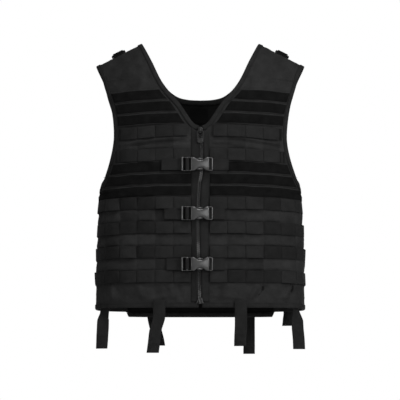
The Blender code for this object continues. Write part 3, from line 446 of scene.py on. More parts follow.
def pockets(s, z, face):
    """Puffs of loose cloth in each cell between two rows and two columns. A puff is flat-topped across. It is
    fullest a third of the way up the cell and leans out to its foot, or the same upside down."""
    behind = np.random.default_rng(23).uniform(0.4, 2.4, (len(BARE), 2, 10))
    cell = (np.abs(s) - FIRST) / COLUMN
    index = np.clip(np.floor(cell), 0, 5).astype(int)
    total = np.zeros_like(s)
    for band, (low, high) in enumerate(BARE):
        v = np.clip((z - low) / (high - low), 0, 1)
        for side, _ in SIDES:
            full = np.array(PUFFS[band, side]) if face > 0 else behind[band, (side + 1) // 2]
            height = np.abs(full)[index]
            bent = np.where(full[index] < 0, 1 - v, v)
            flat_top = np.abs(np.sin(np.pi * np.mod(cell, 1))) ** 0.25
            puff = (0.5 * np.sin(np.pi * bent**0.62) ** 0.9 + 0.9 * (1 - bent)) * flat_top
            total += np.where((cell > 0) & (s * side > 0) & (v > 0) & (v < 1), height * puff, 0)
    return total


def creases(s, z):
    """The folds of the table: each a smooth ridge with ends that taper."""
    total = np.zeros_like(s)
    for x1, z1, x2, z2, width, height in FOLDS:
        start = np.array([round_of(x1, z1), z1])
        way = np.array([round_of(x2, z2), z2]) - start
        length = np.linalg.norm(way)
        t = ((s - start[0]) * way[0] + (z - start[1]) * way[1]) / length**2
        off = ((s - start[0]) * way[1] - (z - start[1]) * way[0]) / length
        total += height * np.exp(-((off / width) ** 2)) * rise(t / 0.35 + 0.5) * rise((1 - t) / 0.35 + 0.5)
    return total


def bare(z, face):
    """1 where the cloth is bare and 0 under webbing and patches, eased over 3.5 mm across each edge."""
    covered = [(top - TAPE, top) for top in ROW_TOPS] + [MIDDLE_PATCH]
    if face > 0:
        covered.append(UPPER_PATCH)
    shown = np.ones_like(z)
    for low, high in covered:
        inside = np.minimum(z - low, high - z)
        shown = np.minimum(shown, rise((1.5 - inside) / 3.5))
    return shown


def patch(bottom, top, left, right):
    """A grid between four edges. Facing edges are blended, and what the corners add twice is taken off."""
    u = np.linspace(0, 1, len(bottom))[:, None, None]
    v = np.linspace(0, 1, len(left))[None, :, None]
    corners = (1 - u) * ((1 - v) * bottom[0] + v * top[0]) + u * ((1 - v) * bottom[-1] + v * top[-1])
    return (1 - v) * bottom[:, None] + v * top[:, None] + (1 - u) * left[None] + u * right[None] - corners


def back_hem(s):
    """The back's hem is lower over its middle, and steps up to the sides."""
    return BACK_HEM + (HEM - BACK_HEM) * rise((np.abs(s) - BACK_HEM_HALF) / BACK_HEM_STEP)


def panel_places(neck_line, first, low, high, neck_columns, seam_columns, hem):
    """Places (distance round, height) of half a panel, as a grid from its middle edge out and from its hem
    up."""
    split = MIDDLE_PATCH[0]  # rows below this height end on the side seam, those above it on the arm opening
    arm = along(armhole, np.linspace(0, 1, high))
    seam_z = np.linspace(HEM, arm[0, 1], low, endpoint=False)
    right = np.vstack([np.stack([quarter(seam_z), seam_z], -1), arm])
    x = np.linspace(RIDGE_IN[0], RIDGE_OUT[0], seam_columns)
    over_neck = along(neck_line, np.linspace(0, 1, neck_columns + 1))[:-1]
    top = np.vstack([over_neck, np.stack(seam_end(x), -1)])
    z = np.concatenate([
        np.linspace(HEM, split, low, endpoint=False),
        split + (neck_line[0, 1] - split) * np.linspace(0, 1, high),
    ])
    left = np.stack([np.full_like(z, first), z], -1)
    bottom = np.stack([np.linspace(first, quarter(HEM), len(top)), np.full(len(top), HEM)], -1)
    places = patch(bottom, top, left, right)
    places[..., 1] += (hem(places[..., 0]) - HEM) * np.linspace(1, 0, len(left))[None, :] ** 3
    return places


def nearest_edge(points, edge):
    """Each point's distance from a line of points, and how far along the line that is."""
    best, where = np.full(points.shape[:-1], 1e9), np.zeros(points.shape[:-1])
    for spot, distance in zip(edge, lengths(edge)):
        away = np.linalg.norm(points - spot, axis=-1)
        where = np.where(away < best, distance, where)
        best = np.minimum(best, away)
    return best, where


def cloth_grids(places, side, face):
    """The outer and inner faces of a panel in space. On top of the form lie the pockets and folds where the
    cloth is bare, gathers that run in from its bound edges and die out, and on the fronts the yoke's
    sewn-down seam."""
    s, z = places[..., 0] * side, places[..., 1]
    flat = laid(s, z, 0, face)
    border = np.concatenate([flat[-1, len(flat[0]) // 3 :], flat[:, -1][::-1], flat[:, 0]])
    away, where = nearest_edge(flat, border[::2])
    inside = rise((away - BINDING) / 14)
    loose = bare(z, face) * inside
    relief = pockets(s, z, face) + 0.45 * ripple(s, z, 26, 5 + face) + 0.22 * ripple(s, z, 9, 6 + face)
    yoke = 0
    if face > 0:
        relief = relief + creases(s, z)
        seam = z + YOKE_DROP + YOKE_SLANT * (np.abs(s) - YOKE_FROM)
        yoke = -0.9 * np.exp(-((seam / 1.8) ** 2))
    gather = 0.4 * np.exp(-np.maximum(away - BINDING, 0) / 7) * rise((away - 8.5) / 3)
    gather = gather * np.sin(where / 1.35 + 2.5 * np.sin(where / 31))
    lift = loose * relief + gather + yoke * inside
    edge = np.zeros_like(lift)
    edge[[0, -1]] = edge[:, [0, -1]] = ROUNDING
    outer = laid(s, z, lift - edge, face)
    inner = laid(s, z, edge - CLOTH, face)
    for grid in (outer, inner):
        grid[..., 1] = -face * np.maximum(-face * grid[..., 1], SEAM_SHY)
    return outer, inner, np.stack([s, z, np.zeros_like(s)], -1)


def shut(outer, inner):
    """Points and faces of a closed sheet between two equal grids, with the outer grid's count of faces."""
    rows, columns = outer.shape[:2]
    front = sheet_faces(rows, columns)
    back = front[:, ::-1] + rows * columns
    index = np.arange(rows * columns).reshape(rows, columns)
    rim = np.concatenate([index[0], index[1:, -1], index[-1, :-1][::-1], index[1:-1, 0][::-1]])
    nxt = np.roll(rim, -1)
    wall = np.stack([nxt, rim, rim + rows * columns, nxt + rows * columns], -1)
    points = np.concatenate([outer.reshape(-1, 3), inner.reshape(-1, 3)])
    return points, np.concatenate([front, back, wall]), len(front)


def sums(tree, operation, *values):
    """The result of one step of arithmetic on sockets and numbers."""
    return add(tree, "ShaderNodeMath", dict(enumerate(values)), operation=operation).outputs[0]


def toned(tree, colour, tone):
    """An sRGB hex colour made lighter or darker by a tone."""
    scaled = {0: linear(colour)[:3], "Scale": tone}
    return add(tree, "ShaderNodeVectorMath", scaled, operation="SCALE").outputs[0]


def over_cloth(tree):
    """Places on the cloth or the tape in millimetres, which its weave follows."""
    return add(tree, "ShaderNodeAttribute", attribute_name="cloth_mm").outputs["Vector"]


def woven(name, slot, colour, coarse, fine, rough, depth, tone, cells=0.0):
    """A woven cloth seen from arm's length: threads one over the other in both directions, which give a faint
    grain, and slow changes of tone where it is worn by rubbing. coarse and fine are its weave's two repeats in
    mm, depth is the strength of its relief, tone is how far the slow changes go, and cells is how far each
    cell's painted light and shade goes: a random tone for each cell between the rows. Without cells, webbing
    is painted lighter or darker by its lean, which is painted light and shade too."""
    made, tree, shader = finish_of(name, slot)
    place = over_cloth(tree)
    x, y, leaning = add(tree, "ShaderNodeSeparateXYZ", {"Vector": place}).outputs
    threads = (sums(tree, "MULTIPLY", at, 2 * math.pi / pitch) for at, pitch in ((x, coarse), (y, fine)))
    weave = sums(tree, "MULTIPLY", *[sums(tree, "SINE", each) for each in threads])
    mottle = ranged(tree, noise(tree, place, 0.045, 4.0, 0.55), 1 - tone * 2.2, 1 + tone * 2.2, 0.3, 0.7)
    both = sums(tree, "MULTIPLY", mottle, ranged(tree, weave, 0.8, 1.2, -1.0, 1.0))
    if cells:
        # Painted light and shade: between the rows each cell is pulled tight by its own tacks and tilts its own
        # way, and a random tone for each cell paints the light and shade that its tilt would give.
        across = sums(tree, "ADD", sums(tree, "ABSOLUTE", x), -FIRST)
        across = sums(tree, "FLOOR", sums(tree, "DIVIDE", across, COLUMN))
        height = add(tree, "ShaderNodeSeparateXYZ", {"Vector": over_object(tree)}).outputs["Z"]
        row = sums(tree, "FLOOR", sums(tree, "MULTIPLY_ADD", height, 1 / (PITCH * MM), 0.5))
        spot = {"X": across, "Y": row, "Z": sums(tree, "SIGN", x)}
        cell = add(tree, "ShaderNodeCombineXYZ", spot).outputs[0]
        lot = sums(tree, "ADD", add(tree, "ShaderNodeTexWhiteNoise", {"Vector": cell}).outputs["Value"], -0.5)
        # in metres: it holds from -0.49 to -0.19
        lot = sums(tree, "MULTIPLY", lot, sums(tree, "COMPARE", height, -0.34, 0.15))
        own = sums(tree, "MULTIPLY_ADD", lot, 2 * cells, 1.0)
    else:
        # Painted light and shade: webbing whose lower edge leans out is painted lighter, as if turned up to the
        # light, and darker where it leans in.
        own = sums(tree, "MULTIPLY_ADD", leaning, 0.13, 1.0)
    both = sums(tree, "MULTIPLY", both, own)
    relief = sums(tree, "MULTIPLY_ADD", noise(tree, place, 1.6, 2.0), 0.6, weave)
    wire(tree, shader, {
        "Base Color": toned(tree, colour, both), "Normal": bumped(tree, relief, depth, 0.00025),
        "Roughness": rough, "Specular IOR Level": 0.12,
    })
    return made


# The last value is the painted light and shade of each cell between the rows.
nylon = woven("nylon_plain_weave_coated", "cloth", "2a2a2a", 0.9, 0.9, 0.62, 0.4, 0.10, 0.3)
lining = woven("nylon_lining_brushed", "cloth", "101010", 0.6, 0.6, 0.8, 0.2, 0.08)


def panel(name, node, outer, inner, place):
    """A panel closed round its two faces, nylon outside and lining within."""
    points, faces, shown = shut(outer, inner)
    part = (np.arange(len(faces)) >= shown).astype(np.int32)
    places = np.concatenate([place.reshape(-1, 3)] * 2)
    return put(name, points, faces, [nylon, lining], [node], places, part=part)


front_places = panel_places(neck, ZIP_EDGE, 96, 116, 62, 40, lambda s: np.full_like(s, HEM))
for side, word in SIDES:
    piece = panel(f"front_cloth_{word}", f"front_panel_{word}", *cloth_grids(front_places, side, 1))

half = panel_places(back_neck, 0.0, 80, 84, 58, 40, back_hem)
right, left = (cloth_grids(half, side, -1) for side in (1, -1))
piece = panel("back_cloth", "back_panel", *[np.concatenate([a[::-1], b[1:]]) for a, b in zip(right, left)])


# Bindings
# Grosgrain tape, 20 mm wide, folded over the raw edges of the neck, the arm openings and the hem and sewn
# through with one line of stitches. Drawn tight round a curve, it gathers slightly.
def tube_faces(rings, sides, closed=False):
    """Faces of a tube of rings with an even number of sides: closed into a hoop, or shut at both ends."""
    index = np.arange(rings * sides).reshape(rings, sides)
    if closed:
        index = np.vstack([index, index[:1]])
    nxt = np.roll(index, -1, axis=1)
    faces = [np.stack([index[:-1], nxt[:-1], nxt[1:], index[1:]], -1).reshape(-1, 4)]
    if not closed:
        k = np.arange(sides // 2 - 1)
        for ring, turned in ((index[0], True), (index[-1], False)):
            cap = np.stack([ring[k], ring[k + 1], ring[sides - 2 - k], ring[sides - 1 - k]], -1)
            faces.append(cap[:, ::-1] if turned else cap)
    return np.concatenate(faces)


def moved_in(line, distance):
    """A line of places moved sideways over the cloth, to its left as it runs. Close under the shoulder seam
    it moves along the seam and keeps its depth below it."""
    way = unit(np.gradient(line, axis=0))
    moved = line + distance * np.stack([-way[:, 1], way[:, 0]], -1)
    x = form(line[:, 0] / quarter(line[:, 1]), line[:, 1])[:, 0]
    drop = ridge_height(x) - line[:, 1]
    beside = x - distance * math.cos(SEAM_FALL)
    height = ridge_height(beside) - drop
    near = np.clip((40 - drop) / 30, 0, 1)[:, None]
    return moved * (1 - near) + np.stack([round_of(beside, height), height], -1) * near


# The folded tape's section: distance inside the edge, lift. It starts at the outer face's inner edge.
FOLD = np.array([
    (9.0, 0.9), (8.6, 1.4), (6, 1.6), (3, 1.6), (1, 1.5), (-0.5, 1.1), (-1.2, 0.1), (-1.35, -1.5), (-1.2, -3.1),
    (-0.5, -4.1), (1, -4.5), (5, -4.6), (8.6, -4.5), (9.0, -4.1),
    (8.6, -3.6), (5, -3.6), (1, -3.55), (0.0, -3.2), (-0.4, -1.5), (0.0, 0.2), (1, 0.55), (3, 0.6), (6, 0.6),
    (8.6, 0.6),
])


def bound(outer, inner, closed, seed):
    """The folded tape along an edge, from lines of points and normals on the edge and a binding's width
    inside."""
    (edge, edge_normal), (inside, inside_normal) = outer, inner
    a, lift = FOLD[:, 0] / BINDING, FOLD[:, 1]
    run = lengths(edge)
    lap = run[-1] + (np.linalg.norm(edge[0] - edge[-1]) if closed else 0)
    coarse, fine = (2 * np.pi * np.round(lap / length) * run / lap for length in (7.5, 3.1))
    slow = 2 * np.pi * 5 * run / lap
    gather = 0.13 * np.sin(coarse + 2 * np.sin(slow + seed)) + 0.08 * np.sin(fine)
    share = np.clip(a, 0, 1)[None, :, None]
    normal = unit(edge_normal[:, None] * (1 - share) + inside_normal[:, None] * share)
    points = edge[:, None] + (inside - edge)[:, None] * a[None, :, None]
    points = points + normal * (lift[None, :] + gather[:, None] * np.sign(lift)[None, :])[..., None]
    place = spread(run[:, None], lengths(FOLD)[None, :])
    return points, tube_faces(len(edge), len(FOLD), closed), place


def side_of(line, face, side):
    """Points and normals of a line of places on one side of the front or back."""
    s, z = line[:, 0] * side, line[:, 1]
    return laid(s, z, 0, face), outward(turn_of(s, z, face), z)


def joined(runs):
    """Runs of points and normals end to end, without the points that they share."""
    return [np.concatenate([runs[0][k], *[each[k][1:] for each in runs[1:]]]) for k in (0, 1)]


grosgrain = woven("grosgrain_tape_folded", "binding", "262626", 0.9, 5.0, 0.68, 0.5, 0.12)
arm_edge = along(armhole, np.linspace(0, 1, 118))
arm_inside = moved_in(arm_edge, BINDING)
arm_inside[0] = (quarter(arm_edge[0, 1]), arm_edge[0, 1] - BINDING)
for side, word in SIDES:
    rings = []
    for line in (arm_edge, arm_inside):
        halves = zip(side_of(line, 1, side), side_of(line, -1, side))
        rings.append([np.concatenate([front, back[::-1][1:-1]]) for front, back in halves])
    points, faces, place = bound(*rings, True, side)
    put(f"arm_binding_{word}", points, faces, grosgrain, [f"armhole_binding_{word}"], place)

neck_front = along(neck, np.linspace(0, 1, 100))
neck_back = along(back_neck, np.linspace(0, 1, 74))
neck_front_in, neck_back_in = moved_in(neck_front, -BINDING), moved_in(neck_back, -BINDING)
neck_front_in[0] = (neck_front[0, 0], neck_front[0, 1] - BINDING)
neck_back_in[0] = (0, neck_back[0, 1] - BINDING)
rings = []
for front, back in ((neck_front, neck_back), (neck_front_in, neck_back_in)):
    runs = (front, 1, 1), (back[::-1], -1, 1), (back, -1, -1), (front[::-1], 1, -1)
    rings.append(joined([side_of(*each) for each in runs]))
points, faces, place = bound(*rings, False, 3)
put("neck_tape", points, faces, grosgrain, ["neck_binding"], place)

rings = []
for above in (0, BINDING):
    runs = []
    for face, side, order in ((1, 1, 1), (-1, 1, -1), (-1, -1, 1), (1, -1, -1)):
        if face > 0:
            s = np.linspace(ZIP_EDGE, quarter(HEM), 120)
            z = np.full_like(s, HEM)
        else:
            s = np.linspace(0, quarter(HEM), 130)
            z = back_hem(s)
        runs.append([each[::order] for each in side_of(np.stack([s, z + above], -1), face, side)])
    rings.append(joined(runs))
points, faces, place = bound(*rings, False, 5)
put("hem_tape", points, faces, grosgrain, ["hem_binding"], place)


# Webbing rows
# One-inch nylon webbing sewn down every 38 mm, so that it bows off the cloth between the bar-tacks and takes
# the straps of pouches. Six rows cross each front, the upper two cut short by the arm openings, and six cross
# the back.
webbing = woven("nylon_webbing_ribbed", "webbing", "242424", 2.1, 1.05, 0.55, 0.8, 0.10)
WEBBING_THICK = 1.5
# A tape's section: share of half its width, share of its thickness
TAPE_SECTION = np.array([
    (-1, 0.5), (-0.985, 0.85), (-0.94, 1), (-0.5, 1.03), (0, 1.05), (0.5, 1.03), (0.94, 1), (0.985, 0.85),
    (1, 0.5), (0.985, 0.15), (0.94, 0), (0.5, 0), (0, 0), (-0.5, 0), (-0.94, 0), (-0.985, 0.15),
])


def tape(s, z, lift, face, squeeze, lean):
    """Webbing laid along stations of distance round, mid height and lift. squeeze narrows it at a station,
    and lean is how far its lower edge stands out there."""
    v = TAPE_SECTION[None, :, 0] * TAPE / 2 * squeeze[:, None]
    off = lift[:, None] - lean[:, None] * TAPE_SECTION[:, 0] + TAPE_SECTION[:, 1] * WEBBING_THICK
    points = laid(s[:, None] + 0 * v, z[:, None] + v, off, face)
    girth = lengths(TAPE_SECTION * (TAPE / 2, WEBBING_THICK))
    # Each row is a length of its own, cut from elsewhere.
    place = spread(s[:, None] + 7 * z[0], girth[None, :])
    return points, tube_faces(len(s), len(v[0])), place


def stations(start, end, first):
    """Places along a row every 2.4 mm, with five close together over each column of bar-tacks."""
    columns = first + COLUMN * np.arange(-8, 9)
    even = np.arange(start + 1.2, end - 1.2, 2.4)
    even = even[np.min(np.abs(even[:, None] - columns), axis=1) > 3.6]
    near = (columns[:, None] + (-2.6, -1.3, 0, 1.3, 2.6)).ravel()
    near = near[(near > start + 0.6) & (near < end - 0.6)]
    return np.concatenate([[start], np.sort(np.concatenate([even, near])), [end]])


def arm_limit(z, margin):
    """Distance round to the arm opening's binding, less a margin, at a height. Below it, the side seam."""
    line = moved_in(armhole[::30], BINDING + margin)
    line[0] = (quarter(armhole[0, 1]), armhole[0, 1] - BINDING - margin)
    seam = quarter(z) - 1.0
    return np.where(z < line[0, 1], seam, np.minimum(np.interp(z, line[:, 1], line[:, 0]), seam))


def row_end(top):
    """Where a row of webbing stops short of the arm opening or the side seam."""
    return float(arm_limit(np.array(top - TAPE / 2), 3.5))


THREAD, CORNERS = 0.28, np.array([0.25, 0.75, 1.25, 1.75]) * np.pi  # a thread's radius, and its section


def zigzag(s0, top, lift, face):
    """A bar-tack: one thread to and fro across 2.4 mm, 1 mm inside the edges of webbing whose top is
    given."""
    passes = 40
    k = np.arange(passes + 1)
    s = s0 + np.where(k % 2 == 0, -1.2, 1.2)
    z = top - 1 - (TAPE - 2) * k / passes
    up, out = THREAD * np.cos(CORNERS), THREAD * np.sin(CORNERS)
    points = laid(s[:, None], z[:, None] + 1.5 * up, lift + out, face)
    return points, tube_faces(passes + 1, len(CORNERS))


def merged(parts):
    """Several lots of points and faces as one."""
    points = [each.reshape(-1, 3) for each, _ in parts]
    before = np.cumsum([0] + [len(each) for each in points])
    return np.concatenate(points), np.concatenate([faces + n for (_, faces), n in zip(parts, before)])


# How far each row drops by its outer end on the left and on the right
ROW_DROP = {1: (5.5, 6.0), 2: (2.0, 3.5), 3: (1.0, 2.5), 4: (0.5, 2.0), 5: (0.8, 1.5), 6: (0.5, 1.2)}
# How far the lower edge of each loop of webbing leans out, in mm, by cells from the zip out: row, side
ROW_LEANS = {
    (1, -1): (0.6, -0.9, 0.9, 0.5, 0, 0), (1, 1): (0.9, 0.6, 1.2, 0.9, 0, 0),
    (2, -1): (0.9, 0.5, 0.9, -0.5, 0, 0), (2, 1): (0.6, 1.2, 0.6, 0.8, 0, 0),
    (3, -1): (1.7, 1.5, -1.7, -1.8, 1.8, 0.6), (3, 1): (1.0, 0.8, 1.2, -1.2, 1.0, 0.4),
    (4, -1): (1.6, 0.9, -1.8, -1.0, 0.3, 0.2), (4, 1): (1.4, 1.6, 1.2, -1.5, -1.2, -0.6),
    (5, -1): (0.3, 0.4, -1.8, 1.7, -1.8, -0.6), (5, 1): (1.2, 1.1, 1.3, -1.7, -1.4, -0.6),
    (6, -1): (0.8, 0.6, 0.9, 0.5, -1.8, -0.8), (6, 1): (1.2, -1.4, -1.7, -1.5, 1.2, 0.5),
}
tacks = []
bows = np.random.default_rng(41)
for number, top in enumerate(ROW_TOPS, 1):
    for side, word in SIDES:
        drop = ROW_DROP[number][(side + 1) // 2]
        start, end = 27.0 if number == 1 else FIRST + 1.7, row_end(top)
        s = stations(start, end, FIRST)
        cell = (s - FIRST) / COLUMN
        index = np.clip(np.floor(cell), 0, 5).astype(int)
        arch = np.abs(np.sin(np.pi * cell)) ** 0.3
        outer = rise((end - s) / 30)
        cell_lean = np.array(ROW_LEANS[number, side])[index] * outer
        lean = 1.4 * cell_lean * arch
        bow = bows.uniform(0.7, 1.6, 6)[index] * outer
        held = 0.9 * bows.uniform(0, 0.7, 9) * rise((end - FIRST - COLUMN * np.arange(9)) / 30)
        column = np.clip(np.round(cell), 0, 8).astype(int)
        lift = 0.1 + 0.3 * outer + bow * arch + held[column] * (1 - arch) + np.abs(lean)
        sag = -drop * rise((s - 40) / (end - 40)) + 0.5 * ripple(s, top + 0 * s, 70, number * 3 + side)
        points, faces, place = tape(side * s, top - TAPE / 2 + sag, lift, 1, 1 - 0.01 * (1 - arch), lean)
        # The loop's lean also goes to its material, which paints it lighter or darker by it: painted light and
        # shade.
        place[:, 2] = np.repeat(cell_lean, len(TAPE_SECTION))
        put(f"webbing_front_{number}_{word}", points, faces, webbing, [f"front_webbing_{number}_{word}"], place)
        for k in range(int(number == 1), int((end - FIRST) / COLUMN) + 1):
            at = FIRST + COLUMN * k if k else FIRST + 3.2
            if at < end - 3:
                tacks.append(zigzag(side * at, top + float(np.interp(at, s, sag)), 2.1 + held[k], 1))
        tacks.append(zigzag(side * (end - 3), top + sag[-1], 2.1, 1))

for number, top in enumerate(ROW_TOPS[1] - PITCH * np.arange(6), 1):
    end = row_end(top)
    s = stations(-end, end, 0)
    index = np.floor(s / COLUMN).astype(int) + 8
    arch = np.abs(np.sin(np.pi * s / COLUMN)) ** 0.5 * rise((end - np.abs(s)) / 12)
    lean = bows.uniform(-1.2, 1.5, 17)[index] * arch
    lift = 0.5 + bows.uniform(0.6, 1.4, 17)[index] * arch + np.abs(lean)
    points, faces, place = tape(s, top - TAPE / 2 + 0 * s, lift, -1, 1 - 0.025 * (1 - arch), lean)
    put(f"webbing_back_{number}", points, faces, webbing, [f"back_webbing_{number}"], place)
    inner = [k * COLUMN for k in range(-7, 8) if abs(k * COLUMN) < end - 6]
    tacks += [zigzag(at, top, 2.2, -1) for at in (*inner, 3 - end, end - 3)]

# Bonded thread: a dull even skin, rubbed lighter and rougher here and there, over the twist's fine ribs.
thread, tree, shader = finish_of("polyester_thread_bonded", "webbing")
place = over_object(tree)
rub = noise(tree, place, 220.0, 3.0)
strands = {"Vector": place, "Scale": 900.0, "Distortion": 1.0}
twist = add(tree, "ShaderNodeTexWave", strands, bands_direction="DIAGONAL")
wire(tree, shader, {
    "Base Color": ranged(tree, rub, 0.008, 0.018), "Roughness": ranged(tree, rub, 0.68, 0.82),
    "Normal": bumped(tree, twist.outputs["Fac"], 0.25, 0.0001), "Specular IOR Level": 0.15,
})
put("bar_tacks", *merged(tacks), thread)


# Hook-and-loop patches
# Three one-inch loop tapes edge to edge on each upper and middle front, for name tapes and badges. The
# brushed pile swallows light, so it is the darkest cloth here; the woven edges of the tapes show as lighter
# lines between.
pile, tree, shader = finish_of("loop_pile_brushed_nylon", "loop_pile")
place = over_cloth(tree)
tangle = noise(tree, place, 1.5, 5.0, 0.7)
loops = add(tree, "ShaderNodeTexVoronoi", {"Vector": place, "Scale": 1.1}).outputs["Distance"]
tone = sums(tree, "MULTIPLY", noise(tree, place, 0.06, 3.0), tangle)
wire(tree, shader, {
    "Base Color": toned(tree, "161616", ranged(tree, tone, 0.6, 1.4, 0.1, 0.4)),
    "Normal": bumped(tree, sums(tree, "ADD", loops, tangle), 0.9, 0.0008),
    "Roughness": 1.0, "Specular IOR Level": 0.08,
})
selvage = woven("loop_tape_selvage", "loop_pile", "2e2e2e", 1.2, 0.8, 0.6, 0.5, 0.08)

# A loop tape's section: share of half its width, lift. The pile stands between the woven edges.
PILE_SECTION = np.array([
    (-1, 0.55), (-0.985, 0.95), (-0.9, 1.05), (-0.80, 1.1), (-0.775, 1.9), (-0.72, 2.3), (-0.4, 2.45), (0, 2.5),
    (0.4, 2.45), (0.72, 2.3), (0.775, 1.9), (0.80, 1.1), (0.9, 1.05), (0.985, 0.95), (1, 0.55),
    (0.985, 0.2), (0.5, 0.2), (0, 0.2), (-0.5, 0.2), (-0.985, 0.2),
])
PILE_FROM, PILE_TO, SELVAGE_LIFT = 3, 11, 1.1
PILE_FACES = (np.arange(len(PILE_SECTION)) >= PILE_FROM) & (np.arange(len(PILE_SECTION)) < PILE_TO)
patch_edges = []
for level, (_, top) in (("upper", UPPER_PATCH), ("middle", MIDDLE_PATCH)):
    upper = level == "upper"
    for side, word in SIDES:
        shells, places, finishes = [], [], []
        for row in range(3):
            mid = top - TAPE * (row + 0.5)
            v, high = PILE_SECTION[:, 0] * (TAPE / 2 - 0.15), PILE_SECTION[:, 1]
            z = mid + v
            if upper:
                first = np.interp(z, neck[:, 1], neck[:, 0]) + 17
            else:
                # The first tape on the right starts beyond the buckle's webbing.
                first = np.full_like(v, FIRST + 1.7) + (38 if side > 0 and row == 0 else 0)
            last = arm_limit(z, 3.0)
            t = np.linspace(0, 1, 90)[:, None]
            s = first + (last - first) * t
            ends = np.minimum(rise((s - first) / 2.0), rise((last - s) / 2.0))
            lift = 0.45 + np.where(high > SELVAGE_LIFT, SELVAGE_LIFT + (high - SELVAGE_LIFT) * ends, high)
            lift = lift + 0.25 * ripple(s, z + 0 * s, 22, 90 + row)
            slope = (2.6 if side > 0 else 3.2) if upper else 3.0
            sag = -slope * rise((s - 60) / 150) + 0.5 * ripple(s, mid + 0 * s, 60, 70 + row + 7 * side)
            points, faces = laid(side * s, z + sag, lift), tube_faces(len(t), len(v))
            shells.append((points, faces))
            places.append(spread(side * s, z))
            kind = np.ones(len(faces), np.int32)
            kind[: (len(t) - 1) * len(v)] = np.where(np.tile(PILE_FACES, len(t) - 1), 0, 1)
            finishes.append(kind)
            for edge in (1.3 - TAPE / 2, TAPE / 2 - 1.3):
                patch_edges.append((side, s[:, 0], mid + sag[:, len(v) // 2] + edge))
        put(
            f"loop_{level}_{word}", *merged(shells), [pile, selvage], [f"{level}_loop_tapes_{word}"],
            np.concatenate(places), part=np.concatenate(finishes),
        )


# Zip
# A moulded two-way zip. Each tooth is a small block with a rounded head that locks between two of the other
# side, set on a woven tape behind the panels' edges. The slider at its top has an open pull tab; the one at
# its foot has splayed flanges under the end stops, lighter as bare zinc and as a painted highlight.
def ring_of(power, sides):
    """A ring of points round a superellipse. The first half runs over the top and the second back
    underneath."""
    a = np.pi - (np.arange(sides) + 0.5) * 2 * np.pi / sides
    return [np.sign(each) * np.abs(each) ** (2 / power) for each in (np.cos(a), np.sin(a))]


def loft(x, half, thick, power=4.0, sides=16, mid=0.0, centre=0.0):
    """A solid drawn along x whose section has a half height and a half thickness at each station: x, v,
    lift."""
    c, d = ring_of(power, sides)
    half, thick, mid, centre = (
        np.broadcast_to(each, np.shape(x))[:, None] for each in (half, thick, mid, centre)
    )
    points = np.stack(np.broadcast_arrays(x[:, None], centre + half * c, mid + thick * d), -1)
    return points, tube_faces(len(x), sides)


# height, how far the zip's line has moved across
ZIP_LINE = np.array([(-541, -1.0), (-480, -2.8), (-310, -3.2), (-290, -1.9), (-274, 0.9), (-176, 0.6)])
ZIP_LOW, ZIP_HIGH = ZIP_LINE[0, 0], ZIP_LINE[-1, 0]


def wander(z):
    """How far the zip's line has moved across at a height: it leans to the left below the first buckle."""
    return eased(np.asarray(z, float), ZIP_LINE[:, 0], ZIP_LINE[:, 1])


zip_tape = woven("zip_tape_woven", "zip_chain", "0e0e0e", 0.8, 0.8, 0.6, 0.4, 0.05)
z = np.linspace(ZIP_LOW, ZIP_HIGH, 150)[:, None]
width = np.array([-3.1, -2.9, 0, 2.9, 3.1, 2.9, 0, -2.9])
thick = np.array([-1.8, -1.4, -1.4, -1.4, -1.8, -2.2, -2.2, -2.2])
points = laid(width + wander(z), z + 0 * width, thick + 0 * z)
put("zip_tape", points, tube_faces(len(z), len(width)), zip_tape, (), spread(z, width))

# The black of the teeth is painted lighter in three bands. The band below the first buckle, where the chain
# stands out as it bends, is a painted highlight; the two lower bands are just lighter.
teeth_plastic, tree, shader = finish_of("acetal_teeth_moulded", "zip_chain")
place = over_object(tree)
height = add(tree, "ShaderNodeSeparateXYZ", {"Vector": place}).outputs["Z"]
glint_and_pale_bands = 0.0
for centre, reach in ((-0.273, 0.013), (-0.425, 0.014), (-0.522, 0.012)):  # metres
    away = sums(tree, "ABSOLUTE", sums(tree, "ADD", height, -centre))
    glint_and_pale_bands = sums(tree, "MAXIMUM", glint_and_pale_bands, ranged(tree, away, 0.0, 1.0, reach, 0.5 * reach))
tone = sums(tree, "MULTIPLY_ADD", glint_and_pale_bands, 0.42, 0.18)
tone = sums(tree, "MULTIPLY", tone, noise(tree, place, 420.0, 2.0))
wire(tree, shader, {"Base Color": tone, "Roughness": 0.3})

TOOTH_PITCH, TEETH_LOW, TEETH_LONG = 4.16, -534, 352
# A tooth's section: distance along it, half height, half thickness
TOOTH = np.array([
    (-3.1, 0.6, 1.2), (-2.9, 0.95, 1.5), (-2.2, 1.05, 1.6), (-1.4, 0.95, 1.4), (-0.9, 0.5, 0.6),
    (-0.4, 0.4, 0.3), (0.9, 0.4, 0.3), (1.1, 0.3, 0.2),
])
tooth, tooth_faces = loft(*TOOTH.T, 2.4, 10, 0.1)
teeth = []
for k in range(int(TEETH_LONG / TOOTH_PITCH)):
    for side, _ in SIDES:
        z = TEETH_LOW + TOOTH_PITCH * (k + (0.5 if side > 0 else 0))
        x, up, out = (tooth.reshape(-1, 3) * (-side if side > 0 else 1, 1, 1)).T
        proud = 1.0 + 0.9 * math.exp(-(((z + 273) / 13) ** 2))  # the chain stands out where it bends
        teeth.append((laid(x + wander(z), z + up, proud + out), tooth_faces[:, ::-side]))
put("zip_teeth_rows", *merged(teeth), teeth_plastic, ["zip_teeth"])

